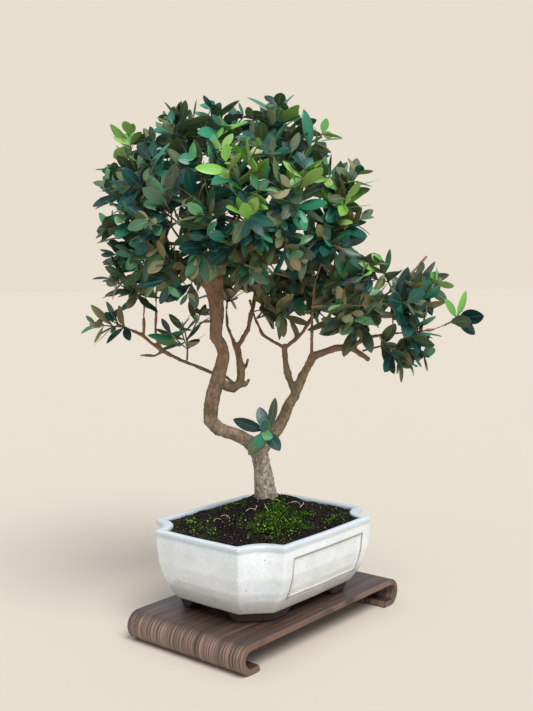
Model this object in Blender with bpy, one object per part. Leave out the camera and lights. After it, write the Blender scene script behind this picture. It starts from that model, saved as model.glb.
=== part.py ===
"""Olive bonsai: a potted olive tree on a bent plywood stand.

Metres, +Z up. +X runs along the long side of the stand and of the pot, and the floor is at Z 0.
The tree is laid out in a frame of its own, turned about Z so that its front faces the viewer:
across (to the right), behind (away from the viewer) and up from the floor.
"""

import math
import random

import bmesh
import bpy
from mathutils import Matrix, Vector
from mathutils.bvhtree import BVHTree
from mathutils.geometry import intersect_ray_tri

MM = 0.001
GAP = 0.0003

# Stand: one bent plywood board, rolled under at both ends
STAND_LENGTH = 0.254
STAND_WIDTH = 0.146
STAND_HEIGHT = 0.028
PLY = 0.006
ROLL_FLAT = 0.007
LIP_RISE = math.radians(20)
ROLL_STEP = math.radians(15)

# Pot: one fired piece with cut-in corners, a lip, a recessed panel on each long side and four feet
POT_AT = Vector((-0.002, 0.005, 0.0))
POT_LENGTH = 0.199
POT_WIDTH = 0.166
POT_TOP = 0.106
POT_BASE = 0.038
BASE_LENGTH = 0.169
BASE_WIDTH = 0.1255
BELLY_POWER = 2.8
CORNER_TOP = 0.030
CORNER_BASE = 0.023
CORNER_SAG_TOP = 0.008
CORNER_SAG_BASE = 0.0006
CORNER_STEPS = 5
SIDE_BOW = 0.0012
WALL = 0.007
FLOOR_THICK = 0.009
LIP_OUT = 0.0006
LIP_HEIGHT = 0.005
LIP_TOP_INSET = 0.0012
PANEL_TOP = 0.0915
PANEL_BOTTOM = 0.052
PANEL_REACH = 0.055
PANEL_DEPTH = 0.0016
PANEL_SLOPE = 0.0014
FOOT_LONG = 0.032
FOOT_SHORT = 0.019
FOOT_TAPER = 0.013
FOOT_DEEP = 0.013
FOOT_INSET = 0.0015
DRAIN_RADIUS = 0.008
DRAIN_AT = 0.040

# Drain screens: plastic mesh squares over the drain holes
SCREEN_SIDE = 0.026
SCREEN_THICK = 0.0012
SCREEN_HOLE = 0.0042
SCREEN_BAR = 0.0018
SCREEN_CELLS = 4

# Soil: fills the pot and is heaped round the trunk
SOIL_EDGE = 0.1035
SOIL_PEAK = 0.131
SOIL_RINGS = (1.0, 0.88, 0.74, 0.6, 0.46, 0.32, 0.18)
SOIL_ROUGH = 0.0009

# Ground cover: cushions of moss on the soil, as centre across the pot, radii, turn and height
MOSS_PATCHES = {
    "moss_front": (-0.024, -0.040, 0.034, 0.019, -20, 0.0045),
}
MOSS_SPOKES = 14
MOSS_EDGE = 0.0012

# Tree: each limb is a line of (across, behind, up, radius) in millimetres
TREE_TURN = math.radians(-50)
LIMBS = {
    "trunk": [(-2, 2, 96, 9), (-2, 2, 112, 14), (-3, 1, 124, 13), (-3, 0, 133, 11), (-6, 0, 159, 9),
              (-10, -1, 175, 9), (-19, -2, 185, 7.2), (-34, -4, 193, 6.6), (-49, -6, 198, 7),
              (-57, -6, 207, 7.6), (-56, -5, 219, 7.5), (-53, -4, 235, 7.5), (-49, -3, 248, 7.6),
              (-46, -2, 259, 7), (-43, -2, 272, 6.2), (-45, -1, 281, 6.5), (-50, 0, 289, 6.5),
              (-50, 1, 301, 7), (-49, 2, 313, 7), (-50, 3, 328, 8.5), (-54, 4, 342, 7.5)],
    "right_limb": [(-8, -1, 172, 6.5), (2, 0, 188, 7), (14, 3, 203, 6.5), (21, 6, 219, 5.6),
                   (28, 8, 230, 5.2), (33, 10, 242, 5), (41, 10, 258, 4.6), (46, 9, 268, 5),
                   (58, 6, 273, 3.6), (69, 2, 277, 3.6), (79, -2, 278, 3.6), (86, -5, 276, 3),
                   (101, -9, 266, 2.3)],
    "right_rise": [(80, -2, 277, 2.6), (86, -4, 279, 2.7), (95, -6, 287, 2.6), (99, -8, 300, 2.4),
                   (103, -10, 315, 2.3), (116, -11, 329, 2), (134, -12, 342, 1.6),
                   (157, -13, 367, 1.3)],
    "right_reach": [(88, -4, 281, 2), (104, -12, 289, 1.9), (120, -18, 292, 1.7),
                    (138, -22, 293, 1.5), (161, -26, 296, 1.4), (171, -27, 300, 1.3)],
    "fork_stem": [(27, 7, 232, 3.6), (22, 14, 248, 4), (19, 20, 260, 3.6), (18, 27, 280, 3.4)],
    "fork_left": [(19, 26, 276, 2.4), (5, 34, 283, 2), (-4, 40, 289, 1.8), (-11, 46, 304, 1.7),
                  (-17, 52, 325, 1.5)],
    "fork_right": [(18, 26, 275, 2.6), (29, 30, 284, 2.3), (37, 34, 291, 2.1), (47, 40, 306, 1.9),
                   (58, 48, 324, 1.7), (67, 54, 345, 1.6)],
    "fork_mid": [(31, 31, 286, 1.6), (27, 34, 298, 1.6), (23, 38, 308, 1.5), (17, 46, 343, 1.4)],
    "upright_twig": [(45, 9, 266, 1.9), (45, 0, 296, 1.8), (46, -8, 321, 1.7), (48, -16, 344, 1.6),
                     (52, -20, 357, 1.5), (63, -30, 378, 1.3)],
    "side_limb": [(-49, -3, 248, 4.6), (-41, 3, 240, 5), (-34, 8, 237, 5), (-27, 12, 242, 4.6),
                  (-26, 14, 251, 4.1), (-27, 16, 261, 4), (-29, 18, 274, 3.6), (-32, 20, 281, 3.2)],
    "side_stub_low": [(-30, 10, 239, 2.4), (-22, 11, 240, 2.2), (-18, 11, 246, 1.6)],
    "side_stub_high": [(-27, 15, 253, 2.2), (-21, 14, 259, 1.9), (-19, 13, 267, 1.4)],
    "side_left": [(-31, 19, 277, 2.2), (-36, 24, 289, 2), (-40, 28, 299, 1.7), (-41, 36, 315, 1.5)],
    "side_right": [(-31, 19, 277, 2.6), (-25, 22, 285, 2.7), (-19, 26, 295, 2.6),
                   (-15, 32, 312, 2.6), (-12, 40, 325, 2.3), (-10, 50, 346, 2.1),
                   (-8, 60, 369, 1.8)],
    "low_left": [(-32, 10, 238, 2.4), (-41, 15, 248, 2.1), (-58, 20, 253, 2.2), (-72, 20, 259, 2.2),
                 (-85, 20, 264, 2.2), (-97, 20, 270, 2.5), (-107, 19, 276, 2.7),
                 (-118, 17, 284, 2.1), (-126, 16, 292, 2.1), (-135, 15, 296, 1.7),
                 (-151, 12, 303, 1.4)],
    "low_left_stub": [(-106, 19, 274, 1.9), (-114, 18, 270, 1.8), (-129, 17, 271, 1.2)],
    "left_stem": [(-106, 19, 275, 1.8), (-112, 17, 288, 1.7), (-111, 14, 312, 1.5),
                  (-110, 12, 337, 1.4), (-108, 12, 346, 1.4)],
    "left_stem_two": [(-124, 16, 290, 1.5), (-123, 12, 312, 1.4), (-121, 6, 326, 1.3),
                      (-117, 0, 340, 1.3)],
    "crown_left": [(-53, 4, 333, 6.5), (-59, -2, 350, 6.2), (-62, -8, 364, 5.6),
                   (-69, -14, 385, 4.6), (-72, -20, 404, 3.6), (-76, -24, 422, 2.6),
                   (-79, -28, 441, 1.6)],
    "crown_right": [(-50, 4, 332, 6.5), (-47, 2, 352, 6.2), (-38, 0, 369, 6), (-18, -2, 384, 4.7),
                    (-3, -2, 394, 4), (11, 0, 412, 3.1), (21, 2, 433, 2.4), (27, 4, 455, 1.6)],
    "crown_far_left": [(-58, -4, 355, 3.5), (-75, -4, 360, 2.8), (-93, 0, 359, 2.4),
                       (-107, 2, 361, 2.1), (-112, 2, 376, 1.8), (-116, 0, 394, 1.6),
                       (-120, -2, 413, 1.4)],
    "crown_right_low": [(-24, -1, 381, 3.3), (-4, 8, 379, 2.8), (16, 16, 373, 2.4),
                        (34, 12, 378, 2), (52, 6, 388, 1.7), (68, 0, 400, 1.4)],
    "crown_back": [(-44, 2, 361, 4.2), (-40, 22, 376, 3.8), (-34, 42, 391, 3),
                   (-28, 58, 410, 1.8)],
    "crown_front": [(-41, 1, 366, 3.6), (-38, -22, 378, 3), (-34, -42, 393, 2.4),
                    (-27, -56, 408, 1.6)],
    "crown_top": [(-68, -13, 382, 2.9), (-58, -6, 403, 2.7), (-48, 2, 424, 2.3),
                  (-42, 8, 448, 1.6)],
    "crown_back_left": [(-60, -4, 359, 3.4), (-70, 20, 376, 3), (-82, 42, 394, 2.5),
                        (-93, 58, 415, 1.6)],
    "crown_back_right": [(-14, -2, 387, 3.3), (1, 24, 398, 2.8), (19, 46, 413, 2.3),
                         (39, 60, 428, 1.6)],
    "crown_front_left": [(-63, -9, 367, 3), (-71, -30, 375, 2.4), (-82, -48, 387, 1.6)],
    "crown_front_right": [(0, -1, 397, 3), (12, -26, 401, 2.4), (27, -46, 408, 1.6)],
}
ROOTS = {
    "root_right": [(0, 0, 128, 5.5), (14, 2, 122, 4), (30, 4, 112, 2.4)],
    "root_front": [(-3, -2, 128, 5.5), (-4, -16, 121, 4), (-8, -32, 111, 2.4)],
    "root_left": [(-5, 1, 128, 5), (-19, 4, 120, 3.6), (-34, 10, 110, 2.2)],
    "root_back": [(-2, 4, 127, 5), (2, 19, 119, 3.6), (8, 34, 110, 2.2)],
}
LIMB_STEP = 0.011
TWIG_LIMB_STEP = 0.016
THICK = 0.0045
THICK_SIDES = 8
THIN_SIDES = 5

# Shoots: (limb, place along it, tip across, behind, up in millimetres, pairs of leaves, side twigs)
SHOOTS = {
    "shoot_far_left_top": ("crown_far_left", 1.0, -130, -10, 478, 4, 3),
    "shoot_far_left_upper": ("crown_far_left", 0.86, -134, -10, 446, 4, 3),
    "shoot_far_left_mid": ("crown_far_left", 0.74, -134, -24, 418, 4, 3),
    "shoot_far_left_low": ("crown_far_left", 0.58, -132, -19, 389, 4, 3),
    "shoot_far_left_hang": ("crown_far_left", 0.44, -124, -26, 360, 4, 3),
    "shoot_left_crest": ("crown_left", 1.0, -91, -25, 488, 4, 3),
    "shoot_left_front": ("crown_left", 0.84, -108, -56, 452, 4, 3),
    "shoot_front_left_end": ("crown_front_left", 1.0, -97, -79, 414, 4, 3),
    "shoot_front_left_low": ("crown_front_left", 0.7, -115, -54, 390, 4, 3),
    "shoot_front_left_under": ("crown_front_left", 0.4, -94, -65, 365, 4, 3),
    "shoot_top_left": ("crown_top", 1.0, -69, -17, 499, 4, 3),
    "shoot_top_front": ("crown_top", 0.72, -63, -63, 457, 4, 3),
    "shoot_front_mid": ("crown_front", 0.9, -60, -87, 418, 4, 3),
    "shoot_front_low": ("crown_front", 0.62, -54, -82, 385, 4, 3),
    "shoot_front_under": ("crown_front", 0.4, -74, -51, 356, 4, 3),
    "shoot_top_mid": ("crown_top", 0.9, -38, -5, 499, 4, 3),
    "shoot_front_high": ("crown_front", 1.0, -24, -69, 455, 4, 3),
    "shoot_front_bright": ("crown_front", 0.95, -17, -89, 411, 4, 3),
    "shoot_front_inner": ("crown_front", 0.5, -24, -71, 373, 4, 3),
    "shoot_crest_peak": ("crown_right", 1.0, -11, -10, 500, 4, 3),
    "shoot_crest_front": ("crown_right", 0.8, 7, -50, 461, 4, 3),
    "shoot_front_right_end": ("crown_front_right", 1.0, 22, -76, 428, 4, 3),
    "shoot_front_right_low": ("crown_front_right", 0.72, 16, -72, 389, 4, 3),
    "shoot_crest_right": ("crown_right", 0.92, 21, 3, 500, 4, 3),
    "shoot_crest_far": ("crown_right", 0.78, 42, -10, 477, 4, 3),
    "shoot_right_end": ("crown_right_low", 1.0, 61, -31, 443, 4, 3),
    "shoot_right_low": ("crown_right_low", 0.9, 75, -15, 414, 4, 3),
    "shoot_right_under": ("crown_right_low", 0.66, 54, -42, 385, 4, 3),
    "shoot_back_left_top": ("crown_back_left", 1.0, -99, 54, 496, 4, 2),
    "shoot_back_left_end": ("crown_back_left", 0.86, -126, 56, 441, 4, 2),
    "shoot_back_left_low": ("crown_back_left", 0.6, -121, 67, 387, 4, 2),
    "shoot_back_top": ("crown_back", 1.0, -53, 66, 505, 4, 2),
    "shoot_back_mid": ("crown_back", 0.84, -63, 96, 436, 4, 2),
    "shoot_back_right_top": ("crown_back_right", 1.0, 11, 57, 496, 4, 2),
    "shoot_back_right_end": ("crown_back_right", 0.9, 66, 61, 451, 4, 2),
    "shoot_back_right_low": ("crown_back_right", 0.62, 19, 89, 405, 4, 2),
    "shoot_rise_bright": ("right_rise", 0.62, 112, -25, 359, 3, 1),
    "shoot_rise_end": ("right_rise", 0.8, 164, 10, 336, 3, 1),
    "shoot_reach_end": ("right_reach", 1.0, 189, -30, 311, 3, 0),
    "shoot_reach_under": ("right_limb", 0.94, 152, -25, 272, 4, 2),
    "shoot_fork_left": ("fork_left", 0.7, 2, 48, 334, 4, 3),
    "shoot_fork_mid": ("fork_mid", 0.6, 38, 30, 344, 4, 3),
    "shoot_fork_right": ("fork_right", 0.75, 82, 34, 343, 4, 3),
    "shoot_low_left_end": ("low_left", 0.9, -154, 4, 306, 3, 1),
    "shoot_left_stem": ("left_stem", 0.8, -112, 10, 366, 4, 2),
    "shoot_left_stem_two": ("left_stem_two", 0.7, -130, -6, 340, 4, 2),
    "shoot_left_inner": ("low_left", 0.42, -84, 6, 304, 4, 2),
    "shoot_fork_whorl": ("right_limb", 0.15, -7, -36, 199, 3, 0),
    "shoot_rise_left": ("right_rise", 0.45, 80, -12, 356, 4, 2),
    "shoot_rise_drop": ("right_rise", 0.5, 139, -34, 310, 3, 2),
    "shoot_reach_up": ("right_reach", 0.58, 165, -22, 340, 3, 1),
    "shoot_limb_left": ("right_rise", 0.24, 69, -24, 304, 3, 2),
    "shoot_side_left": ("side_left", 1.0, -36, 30, 338, 4, 2),
}
SPREADING = ("shoot_fork_whorl",)
LEAF_LENGTH = 0.029
LEAF_WIDTH = 0.0135
LEAF_THICK = 0.0007
LEAF_NODE = 0.0016
TWIG_RADIUS = 0.0012
TWIG_TIP_RADIUS = 0.0007
LEAF_TWIST = 0.4
LEAF_OFF = 0.0006
BARE_SHARE = 0.34
SIDE_TWIG = 0.026
MARGIN = 1.12
TRIES = 10

# Materials: name: (colour, roughness)
FINISHES = {
    "walnut_veneer": ((0.17, 0.10, 0.075), 0.45),
    "white_glaze": ((0.72, 0.75, 0.72), 0.25),
    "soil": ((0.035, 0.03, 0.022), 0.95),
    "moss": ((0.10, 0.20, 0.03), 0.9),
    "olive_bark": ((0.30, 0.24, 0.17), 0.8),
    "olive_leaf": ((0.04, 0.12, 0.07), 0.45),
    "screen_plastic": ((0.03, 0.03, 0.03), 0.6),
}


def clear_scene():
    for obj in list(bpy.data.objects):
        bpy.data.objects.remove(obj, do_unlink=True)


def finish(name):
    """The material of that name, made when it is first asked for."""
    found = bpy.data.materials.get(name)
    if found:
        return found
    colour, roughness = FINISHES[name]
    made = bpy.data.materials.new(name)
    made.use_nodes = True
    shader = made.node_tree.nodes["Principled BSDF"]
    shader.inputs["Base Color"].default_value = (*colour, 1.0)
    shader.inputs["Roughness"].default_value = roughness
    shader.inputs["Metallic"].default_value = 0.0
    return made


def add_object(name, points, faces, material, parent):
    mesh = bpy.data.meshes.new(name)
    mesh.from_pydata([tuple(p) for p in points], [], faces)
    mesh.validate()
    mesh.materials.append(finish(material))
    obj = bpy.data.objects.new(name, mesh)
    bpy.context.scene.collection.objects.link(obj)
    obj.parent = parent
    return obj


def add_empty(name, parent=None, turn=0.0, at=(0, 0, 0)):
    obj = bpy.data.objects.new(name, None)
    bpy.context.scene.collection.objects.link(obj)
    obj.parent = parent
    obj.rotation_euler.z = turn
    obj.location = at
    return obj


def baked_boolean(target, cutters, operation):
    """The target joined with or cut by the cutters, applied, with the cutters removed."""
    group = bpy.data.collections.new("cutters")
    bpy.context.scene.collection.children.link(group)
    for cutter in cutters:
        for owner in list(cutter.users_collection):
            owner.objects.unlink(cutter)
        group.objects.link(cutter)
    modifier = target.modifiers.new("boolean", "BOOLEAN")
    modifier.operation = operation
    modifier.operand_type = "COLLECTION"
    modifier.collection = group
    modifier.use_self = operation == "UNION"
    bpy.context.view_layer.update()
    graph = bpy.context.evaluated_depsgraph_get()
    baked = bpy.data.meshes.new_from_object(target.evaluated_get(graph))
    target.modifiers.clear()
    target.data = baked
    for cutter in cutters:
        bpy.data.objects.remove(cutter, do_unlink=True)
    bpy.data.collections.remove(group)


def bridge(rings, close_start=True, close_end=True):
    """Points and faces of a closed skin through rings of equal counts, each counter-clockwise
    seen from the last ring."""
    count = len(rings[0])
    points = [p for ring in rings for p in ring]
    faces = []
    for level in range(len(rings) - 1):
        low, high = level * count, (level + 1) * count
        for i in range(count):
            j = (i + 1) % count
            faces += [(low + i, low + j, high + i), (low + j, high + j, high + i)]
    if close_start:
        faces.append(tuple(reversed(range(count))))
    if close_end:
        last = (len(rings) - 1) * count
        faces.append(tuple(range(last, last + count)))
    return points, faces


# Stand


def roll_arc(radius, start, end, centre):
    steps = max(1, round(abs(end - start) / ROLL_STEP))
    angles = (start + (end - start) * k / steps for k in range(steps + 1))
    return [centre + radius * Vector((math.cos(a), math.sin(a))) for a in angles]


def build_stand(parent):
    """The board's section, from the left lip over the top to the right lip, pulled along Y."""
    outer = STAND_HEIGHT / 2
    inner = outer - PLY
    centre = Vector((-STAND_LENGTH / 2 + outer, outer))
    lip_centre = centre + Vector((ROLL_FLAT, 0))
    down, top = math.radians(270), math.radians(90)
    outside = roll_arc(outer, down + LIP_RISE, down, lip_centre) + roll_arc(outer, down, top, centre)
    inside = roll_arc(inner, down + LIP_RISE, down, lip_centre) + roll_arc(inner, down, top, centre)
    mirrored = [Vector((-p.x, p.y)) for p in reversed(outside)]
    mirrored_inside = [Vector((-p.x, p.y)) for p in reversed(inside)]
    section = outside + mirrored + list(reversed(inside + mirrored_inside))
    front = [Vector((p.x, -STAND_WIDTH / 2, p.y)) for p in reversed(section)]
    back = [Vector((p.x, STAND_WIDTH / 2, p.y)) for p in reversed(section)]
    points, faces = bridge([back, front])
    return add_object("stand", points, faces, "walnut_veneer", parent)


# Pot


def corner_arc(first, second, sag):
    """Points from one cusp of a corner to the other, curved in towards the pot by the sag."""
    chord = second - first
    inward = Vector((-chord.y, chord.x)).normalized()
    points = []
    for k in range(CORNER_STEPS + 1):
        share = k / CORNER_STEPS
        points.append(first + chord * share + inward * (sag * math.sin(math.pi * share)))
    return points


def pot_outline(length, width, corner, sag):
    """The pot's outline seen from above, counter-clockwise from its front left corner."""
    half_x, half_y = length / 2, width / 2
    cusps = [
        (Vector((-half_x, -half_y + corner)), Vector((-half_x + corner, -half_y))),
        (Vector((half_x - corner, -half_y)), Vector((half_x, -half_y + corner))),
        (Vector((half_x, half_y - corner)), Vector((half_x - corner, half_y))),
        (Vector((-half_x + corner, half_y)), Vector((-half_x, half_y - corner))),
    ]
    panel = PANEL_REACH * length / POT_LENGTH
    sides = [
        [Vector((-panel, -half_y)), Vector((0, -half_y - SIDE_BOW)), Vector((panel, -half_y))],
        [Vector((half_x + SIDE_BOW, 0))],
        [Vector((panel, half_y)), Vector((0, half_y + SIDE_BOW)), Vector((-panel, half_y))],
        [Vector((-half_x - SIDE_BOW, 0))],
    ]
    outline = []
    for (first, second), side in zip(cusps, sides):
        outline += corner_arc(first, second, sag) + side
    return outline


def pot_ring(height, offset=0.0):
    """The pot's outline at a height, moved in by the offset, following the curved wall."""
    drop = min(1.0, max(0.0, (POT_TOP - height) / (POT_TOP - POT_BASE)))
    inset = drop**BELLY_POWER
    length = POT_LENGTH + (BASE_LENGTH - POT_LENGTH) * inset - 2 * offset
    width = POT_WIDTH + (BASE_WIDTH - POT_WIDTH) * inset - 2 * offset
    corner = CORNER_TOP + (CORNER_BASE - CORNER_TOP) * inset
    sag = CORNER_SAG_TOP + (CORNER_SAG_BASE - CORNER_SAG_TOP) * drop
    return [Vector((p.x, p.y, height)) for p in pot_outline(length, width, corner, sag)]


def pot_shell():
    """Rings up the outside, over the lip and down the inside."""
    lip_bottom = POT_TOP - LIP_HEIGHT
    outside = [pot_ring(h) for h in (POT_BASE, PANEL_BOTTOM, 0.060, 0.074, PANEL_TOP, lip_bottom)]
    lip = [
        pot_ring(lip_bottom + 0.0006, -LIP_OUT),
        pot_ring(POT_TOP - LIP_TOP_INSET, -LIP_OUT),
        pot_ring(POT_TOP, -LIP_OUT + LIP_TOP_INSET),
        pot_ring(POT_TOP, WALL - LIP_TOP_INSET),
    ]
    inside = [pot_ring(h, WALL) for h in (POT_TOP - LIP_TOP_INSET, 0.088, 0.066)]
    inside.append(pot_ring(POT_BASE + FLOOR_THICK, WALL + 0.001))
    return outside + lip + inside


def recess_panels(obj):
    """Sets a sloped panel into each long side, between the panel's own lines of the skin."""
    mesh = bmesh.new()
    mesh.from_mesh(obj.data)
    for side in (-1, 1):
        chosen = []
        for face in mesh.faces:
            centre = face.calc_center_median()
            outside = face.normal.y * side > 0.7 and centre.y * side > BASE_WIDTH / 2
            if outside and PANEL_BOTTOM < centre.z < PANEL_TOP and abs(centre.x) < PANEL_REACH:
                chosen.append(face)
        bmesh.ops.inset_region(
            mesh, faces=chosen, thickness=PANEL_SLOPE, depth=-PANEL_DEPTH, use_even_offset=True
        )
    mesh.to_mesh(obj.data)
    mesh.free()


def pot_foot(side_x, side_y, parent):
    """One corner foot: a bracket round the pot's cut corner, narrower at the bottom."""
    half_x, half_y = BASE_LENGTH / 2 - FOOT_INSET, BASE_WIDTH / 2 - FOOT_INSET
    corner = CORNER_BASE

    def bracket(height, taper, inset):
        x, y = half_x - inset, half_y - inset
        outer = [
            (x, y - corner - FOOT_SHORT + taper),
            (x, y - corner),
            (x - corner, y),
            (x - corner - FOOT_LONG + taper, y),
        ]
        inner = [
            (x - corner - FOOT_LONG + taper, y - FOOT_DEEP),
            (x - corner - FOOT_DEEP * 0.4, y - FOOT_DEEP),
            (x - FOOT_DEEP, y - corner - FOOT_DEEP * 0.4),
            (x - FOOT_DEEP, y - corner - FOOT_SHORT + taper),
        ]
        ring = [Vector((px * side_x, py * side_y, height)) for px, py in outer + inner]
        return ring if side_x * side_y > 0 else list(reversed(ring))

    low = bracket(STAND_HEIGHT + GAP, FOOT_TAPER, 0.003)
    high = bracket(POT_BASE + 0.001, 0.0, 0.0)
    points, faces = bridge([low, high])
    return add_object("foot_blank", points, faces, "white_glaze", parent)


def drain_drill(side, parent):
    ring = [
        Vector((DRAIN_AT * side + DRAIN_RADIUS * math.cos(a), DRAIN_RADIUS * math.sin(a), 0))
        for a in (math.tau * k / 16 for k in range(16))
    ]
    low = [p + Vector((0, 0, POT_BASE - 0.002)) for p in ring]
    high = [p + Vector((0, 0, POT_BASE + FLOOR_THICK + 0.002)) for p in ring]
    points, faces = bridge([low, high])
    return add_object("drain_drill", points, faces, "white_glaze", parent)


def build_pot(parent):
    points, faces = bridge(pot_shell())
    pot = add_object("pot", points, faces, "white_glaze", parent)
    recess_panels(pot)
    feet = [pot_foot(x, y, parent) for x in (-1, 1) for y in (-1, 1)]
    baked_boolean(pot, feet, "UNION")
    baked_boolean(pot, [drain_drill(side, parent) for side in (-1, 1)], "DIFFERENCE")
    return pot


def build_screen(side, parent):
    """A square of plastic mesh on the pot's floor over a drain hole."""
    bottom = POT_BASE + FLOOR_THICK + GAP
    half = SCREEN_SIDE / 2
    plate = [Vector((DRAIN_AT * side + x * half, y * half, 0)) for x, y in
             ((-1, -1), (1, -1), (1, 1), (-1, 1))]
    low = [p + Vector((0, 0, bottom)) for p in plate]
    high = [p + Vector((0, 0, bottom + SCREEN_THICK)) for p in plate]
    points, faces = bridge([low, high])
    name = "drain_screen_left" if side < 0 else "drain_screen_right"
    screen = add_object(name, points, faces, "screen_plastic", parent)
    pitch = SCREEN_HOLE + SCREEN_BAR
    cutters = []
    for i in range(SCREEN_CELLS):
        for j in range(SCREEN_CELLS):
            at = Vector((DRAIN_AT * side, 0, 0)) + Vector((i, j, 0)) * pitch
            at -= Vector((1, 1, 0)) * pitch * (SCREEN_CELLS - 1) / 2
            ring = [at + Vector((x, y, 0)) * SCREEN_HOLE / 2 for x, y in
                    ((-1, -1), (1, -1), (1, 1), (-1, 1))]
            low = [p + Vector((0, 0, bottom - 0.001)) for p in ring]
            high = [p + Vector((0, 0, bottom + SCREEN_THICK + 0.001)) for p in ring]
            hole_points, hole_faces = bridge([low, high])
            cutters.append(add_object("mesh_hole", hole_points, hole_faces, "screen_plastic", parent))
    baked_boolean(screen, cutters, "DIFFERENCE")
    return screen


# Soil and ground cover


def soil_height(share, spoke):
    """Height of the soil at a share of the way out, with a little roughness of its own."""
    mound = 0.5 + 0.5 * math.cos(math.pi * min(1.0, share) ** 0.9)
    rough = math.sin(spoke * 2.7 + share * 9) + math.sin(spoke * 1.3 - share * 14)
    return SOIL_EDGE + (SOIL_PEAK - SOIL_EDGE) * mound + SOIL_ROUGH * rough * (1 - share)


def soil_point(ring, spoke, lift=0.0):
    edge = pot_ring(POT_TOP - 0.003, WALL + GAP)
    edge_point = edge[spoke % len(edge)]
    share = SOIL_RINGS[ring]
    centre = -POT_AT
    x = centre.x + (edge_point.x - centre.x) * share
    y = centre.y + (edge_point.y - centre.y) * share
    return Vector((x, y, soil_height(share, spoke % len(edge)) + lift))


def build_soil(parent, root_cutters):
    """The soil, hollowed for the drain screens and for the roots."""
    floor = POT_BASE + FLOOR_THICK + GAP
    points, faces = soil_skin()
    soil = add_object("soil", points, faces, "soil", parent)
    pockets = []
    for side in (-1, 1):
        half = SCREEN_SIDE / 2 + GAP
        ring = [Vector((DRAIN_AT * side + x * half, y * half, 0)) for x, y in
                ((-1, -1), (1, -1), (1, 1), (-1, 1))]
        low = [p + Vector((0, 0, floor - 0.001)) for p in ring]
        high = [p + Vector((0, 0, floor + SCREEN_THICK + GAP)) for p in ring]
        pocket_points, pocket_faces = bridge([low, high])
        pockets.append(add_object("pocket", pocket_points, pocket_faces, "soil", parent))
    baked_boolean(soil, pockets, "DIFFERENCE")
    for cutter in root_cutters:
        baked_boolean(soil, [cutter], "DIFFERENCE")
    return soil


def soil_skin(lift=0.0):
    """The soil's closed skin: up the inside of the pot, then in over the mound to its top."""
    count = len(pot_ring(POT_TOP))
    floor = POT_BASE + FLOOR_THICK + GAP
    rings = [pot_ring(floor, WALL + 0.001 + GAP * 2)]
    rings += [pot_ring(h, WALL + GAP * 2) for h in (0.066, 0.088)]
    rings += [[soil_point(k, s, lift) for s in range(count)] for k in range(len(SOIL_RINGS))]
    points = [p for ring in rings for p in ring]
    faces = [tuple(reversed(range(count)))]
    for level in range(len(rings) - 1):
        low, high = level * count, (level + 1) * count
        for i in range(count):
            j = (i + 1) % count
            faces.append((low + i, low + j, high + j))
            faces.append((low + i, high + j, high + i))
    last = (len(rings) - 1) * count
    points.append(Vector((-POT_AT.x, -POT_AT.y, SOIL_PEAK + lift)))
    faces += [(last + i, last + (i + 1) % count, len(points) - 1) for i in range(count)]
    return points, faces


def build_moss(name, parent):
    """A low cushion that follows the soil a hair above it."""
    x, y, long_radius, short_radius, turn, height = MOSS_PATCHES[name]
    ground = tree_of(*soil_skin())
    turned = Matrix.Rotation(math.radians(turn), 3, "Z")

    def ring(share, lift):
        points = []
        for k in range(MOSS_SPOKES):
            angle = math.tau * k / MOSS_SPOKES
            reach = share * (1 + 0.13 * math.sin(angle * 3 + x * 90))
            spot = Vector((math.cos(angle) * long_radius, math.sin(angle) * short_radius, 0)) * reach
            spot = turned @ spot + Vector((x, y, POT_TOP + 0.1))
            points.append(ground.ray_cast(spot, Vector((0, 0, -1)))[0] + Vector((0, 0, lift)))
        return points

    rings = [ring(1.0, -0.003), ring(1.0, MOSS_EDGE), ring(0.66, height * 0.8), ring(0.25, height)]
    points, faces = bridge(rings)
    moss = add_object(name, points, faces, "moss", parent)
    points, faces = soil_skin(GAP * 1.3)
    baked_boolean(moss, [add_object("soil_cutter", points, faces, "soil", parent)], "DIFFERENCE")
    return moss


# Wood


def smooth_line(points, step):
    """Points about a step apart on a Catmull-Rom curve through (position, radius) pairs."""
    ends = [points[0], *points, points[-1]]
    line = []
    for k in range(1, len(ends) - 2):
        before, start, stop, after = ends[k - 1 : k + 3]
        pieces = max(1, round((stop[0] - start[0]).length / step))
        for piece in range(pieces):
            t = piece / pieces
            place = 0.5 * (
                2 * start[0]
                + (stop[0] - before[0]) * t
                + (2 * before[0] - 5 * start[0] + 4 * stop[0] - after[0]) * t * t
                + (3 * start[0] - before[0] - 3 * stop[0] + after[0]) * t**3
            )
            line.append((place, start[1] + (stop[1] - start[1]) * t))
    line.append(points[-1])
    return line


def tangents(places):
    last = len(places) - 1
    return [(places[min(k + 1, last)] - places[max(k - 1, 0)]).normalized() for k in
            range(len(places))]


def frames(places, start_side=None):
    """A tangent and two sides at each place, carried along without twisting."""
    directions = tangents(places)
    side = start_side or directions[0].orthogonal()
    carried = []
    for direction in directions:
        side = (side - direction * side.dot(direction)).normalized()
        carried.append((direction, side.copy(), direction.cross(side)))
    return carried


def tube(line, sides, grow=0.0):
    """Rings of a tube round a line of (position, radius) pairs, grown by a clearance."""
    places = [place for place, _ in line]
    rings = []
    for (place, radius), (_, side, across) in zip(line, frames(places)):
        ring = []
        for k in range(sides):
            angle = math.tau * k / sides
            ring.append(place + (side * math.cos(angle) + across * math.sin(angle)) * (radius + grow))
        rings.append(ring)
    if grow:
        directions = tangents(places)
        rings[0] = [p - directions[0] * grow for p in rings[0]]
        rings[-1] = [p + directions[-1] * grow for p in rings[-1]]
    return rings


def limb_line(table, name):
    rows = [(Vector((a, b, up)) * MM, radius * MM) for a, b, up, radius in table[name]]
    thick = max(radius for _, radius in rows) > THICK
    return smooth_line(rows, LIMB_STEP if thick else TWIG_LIMB_STEP), thick


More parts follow.
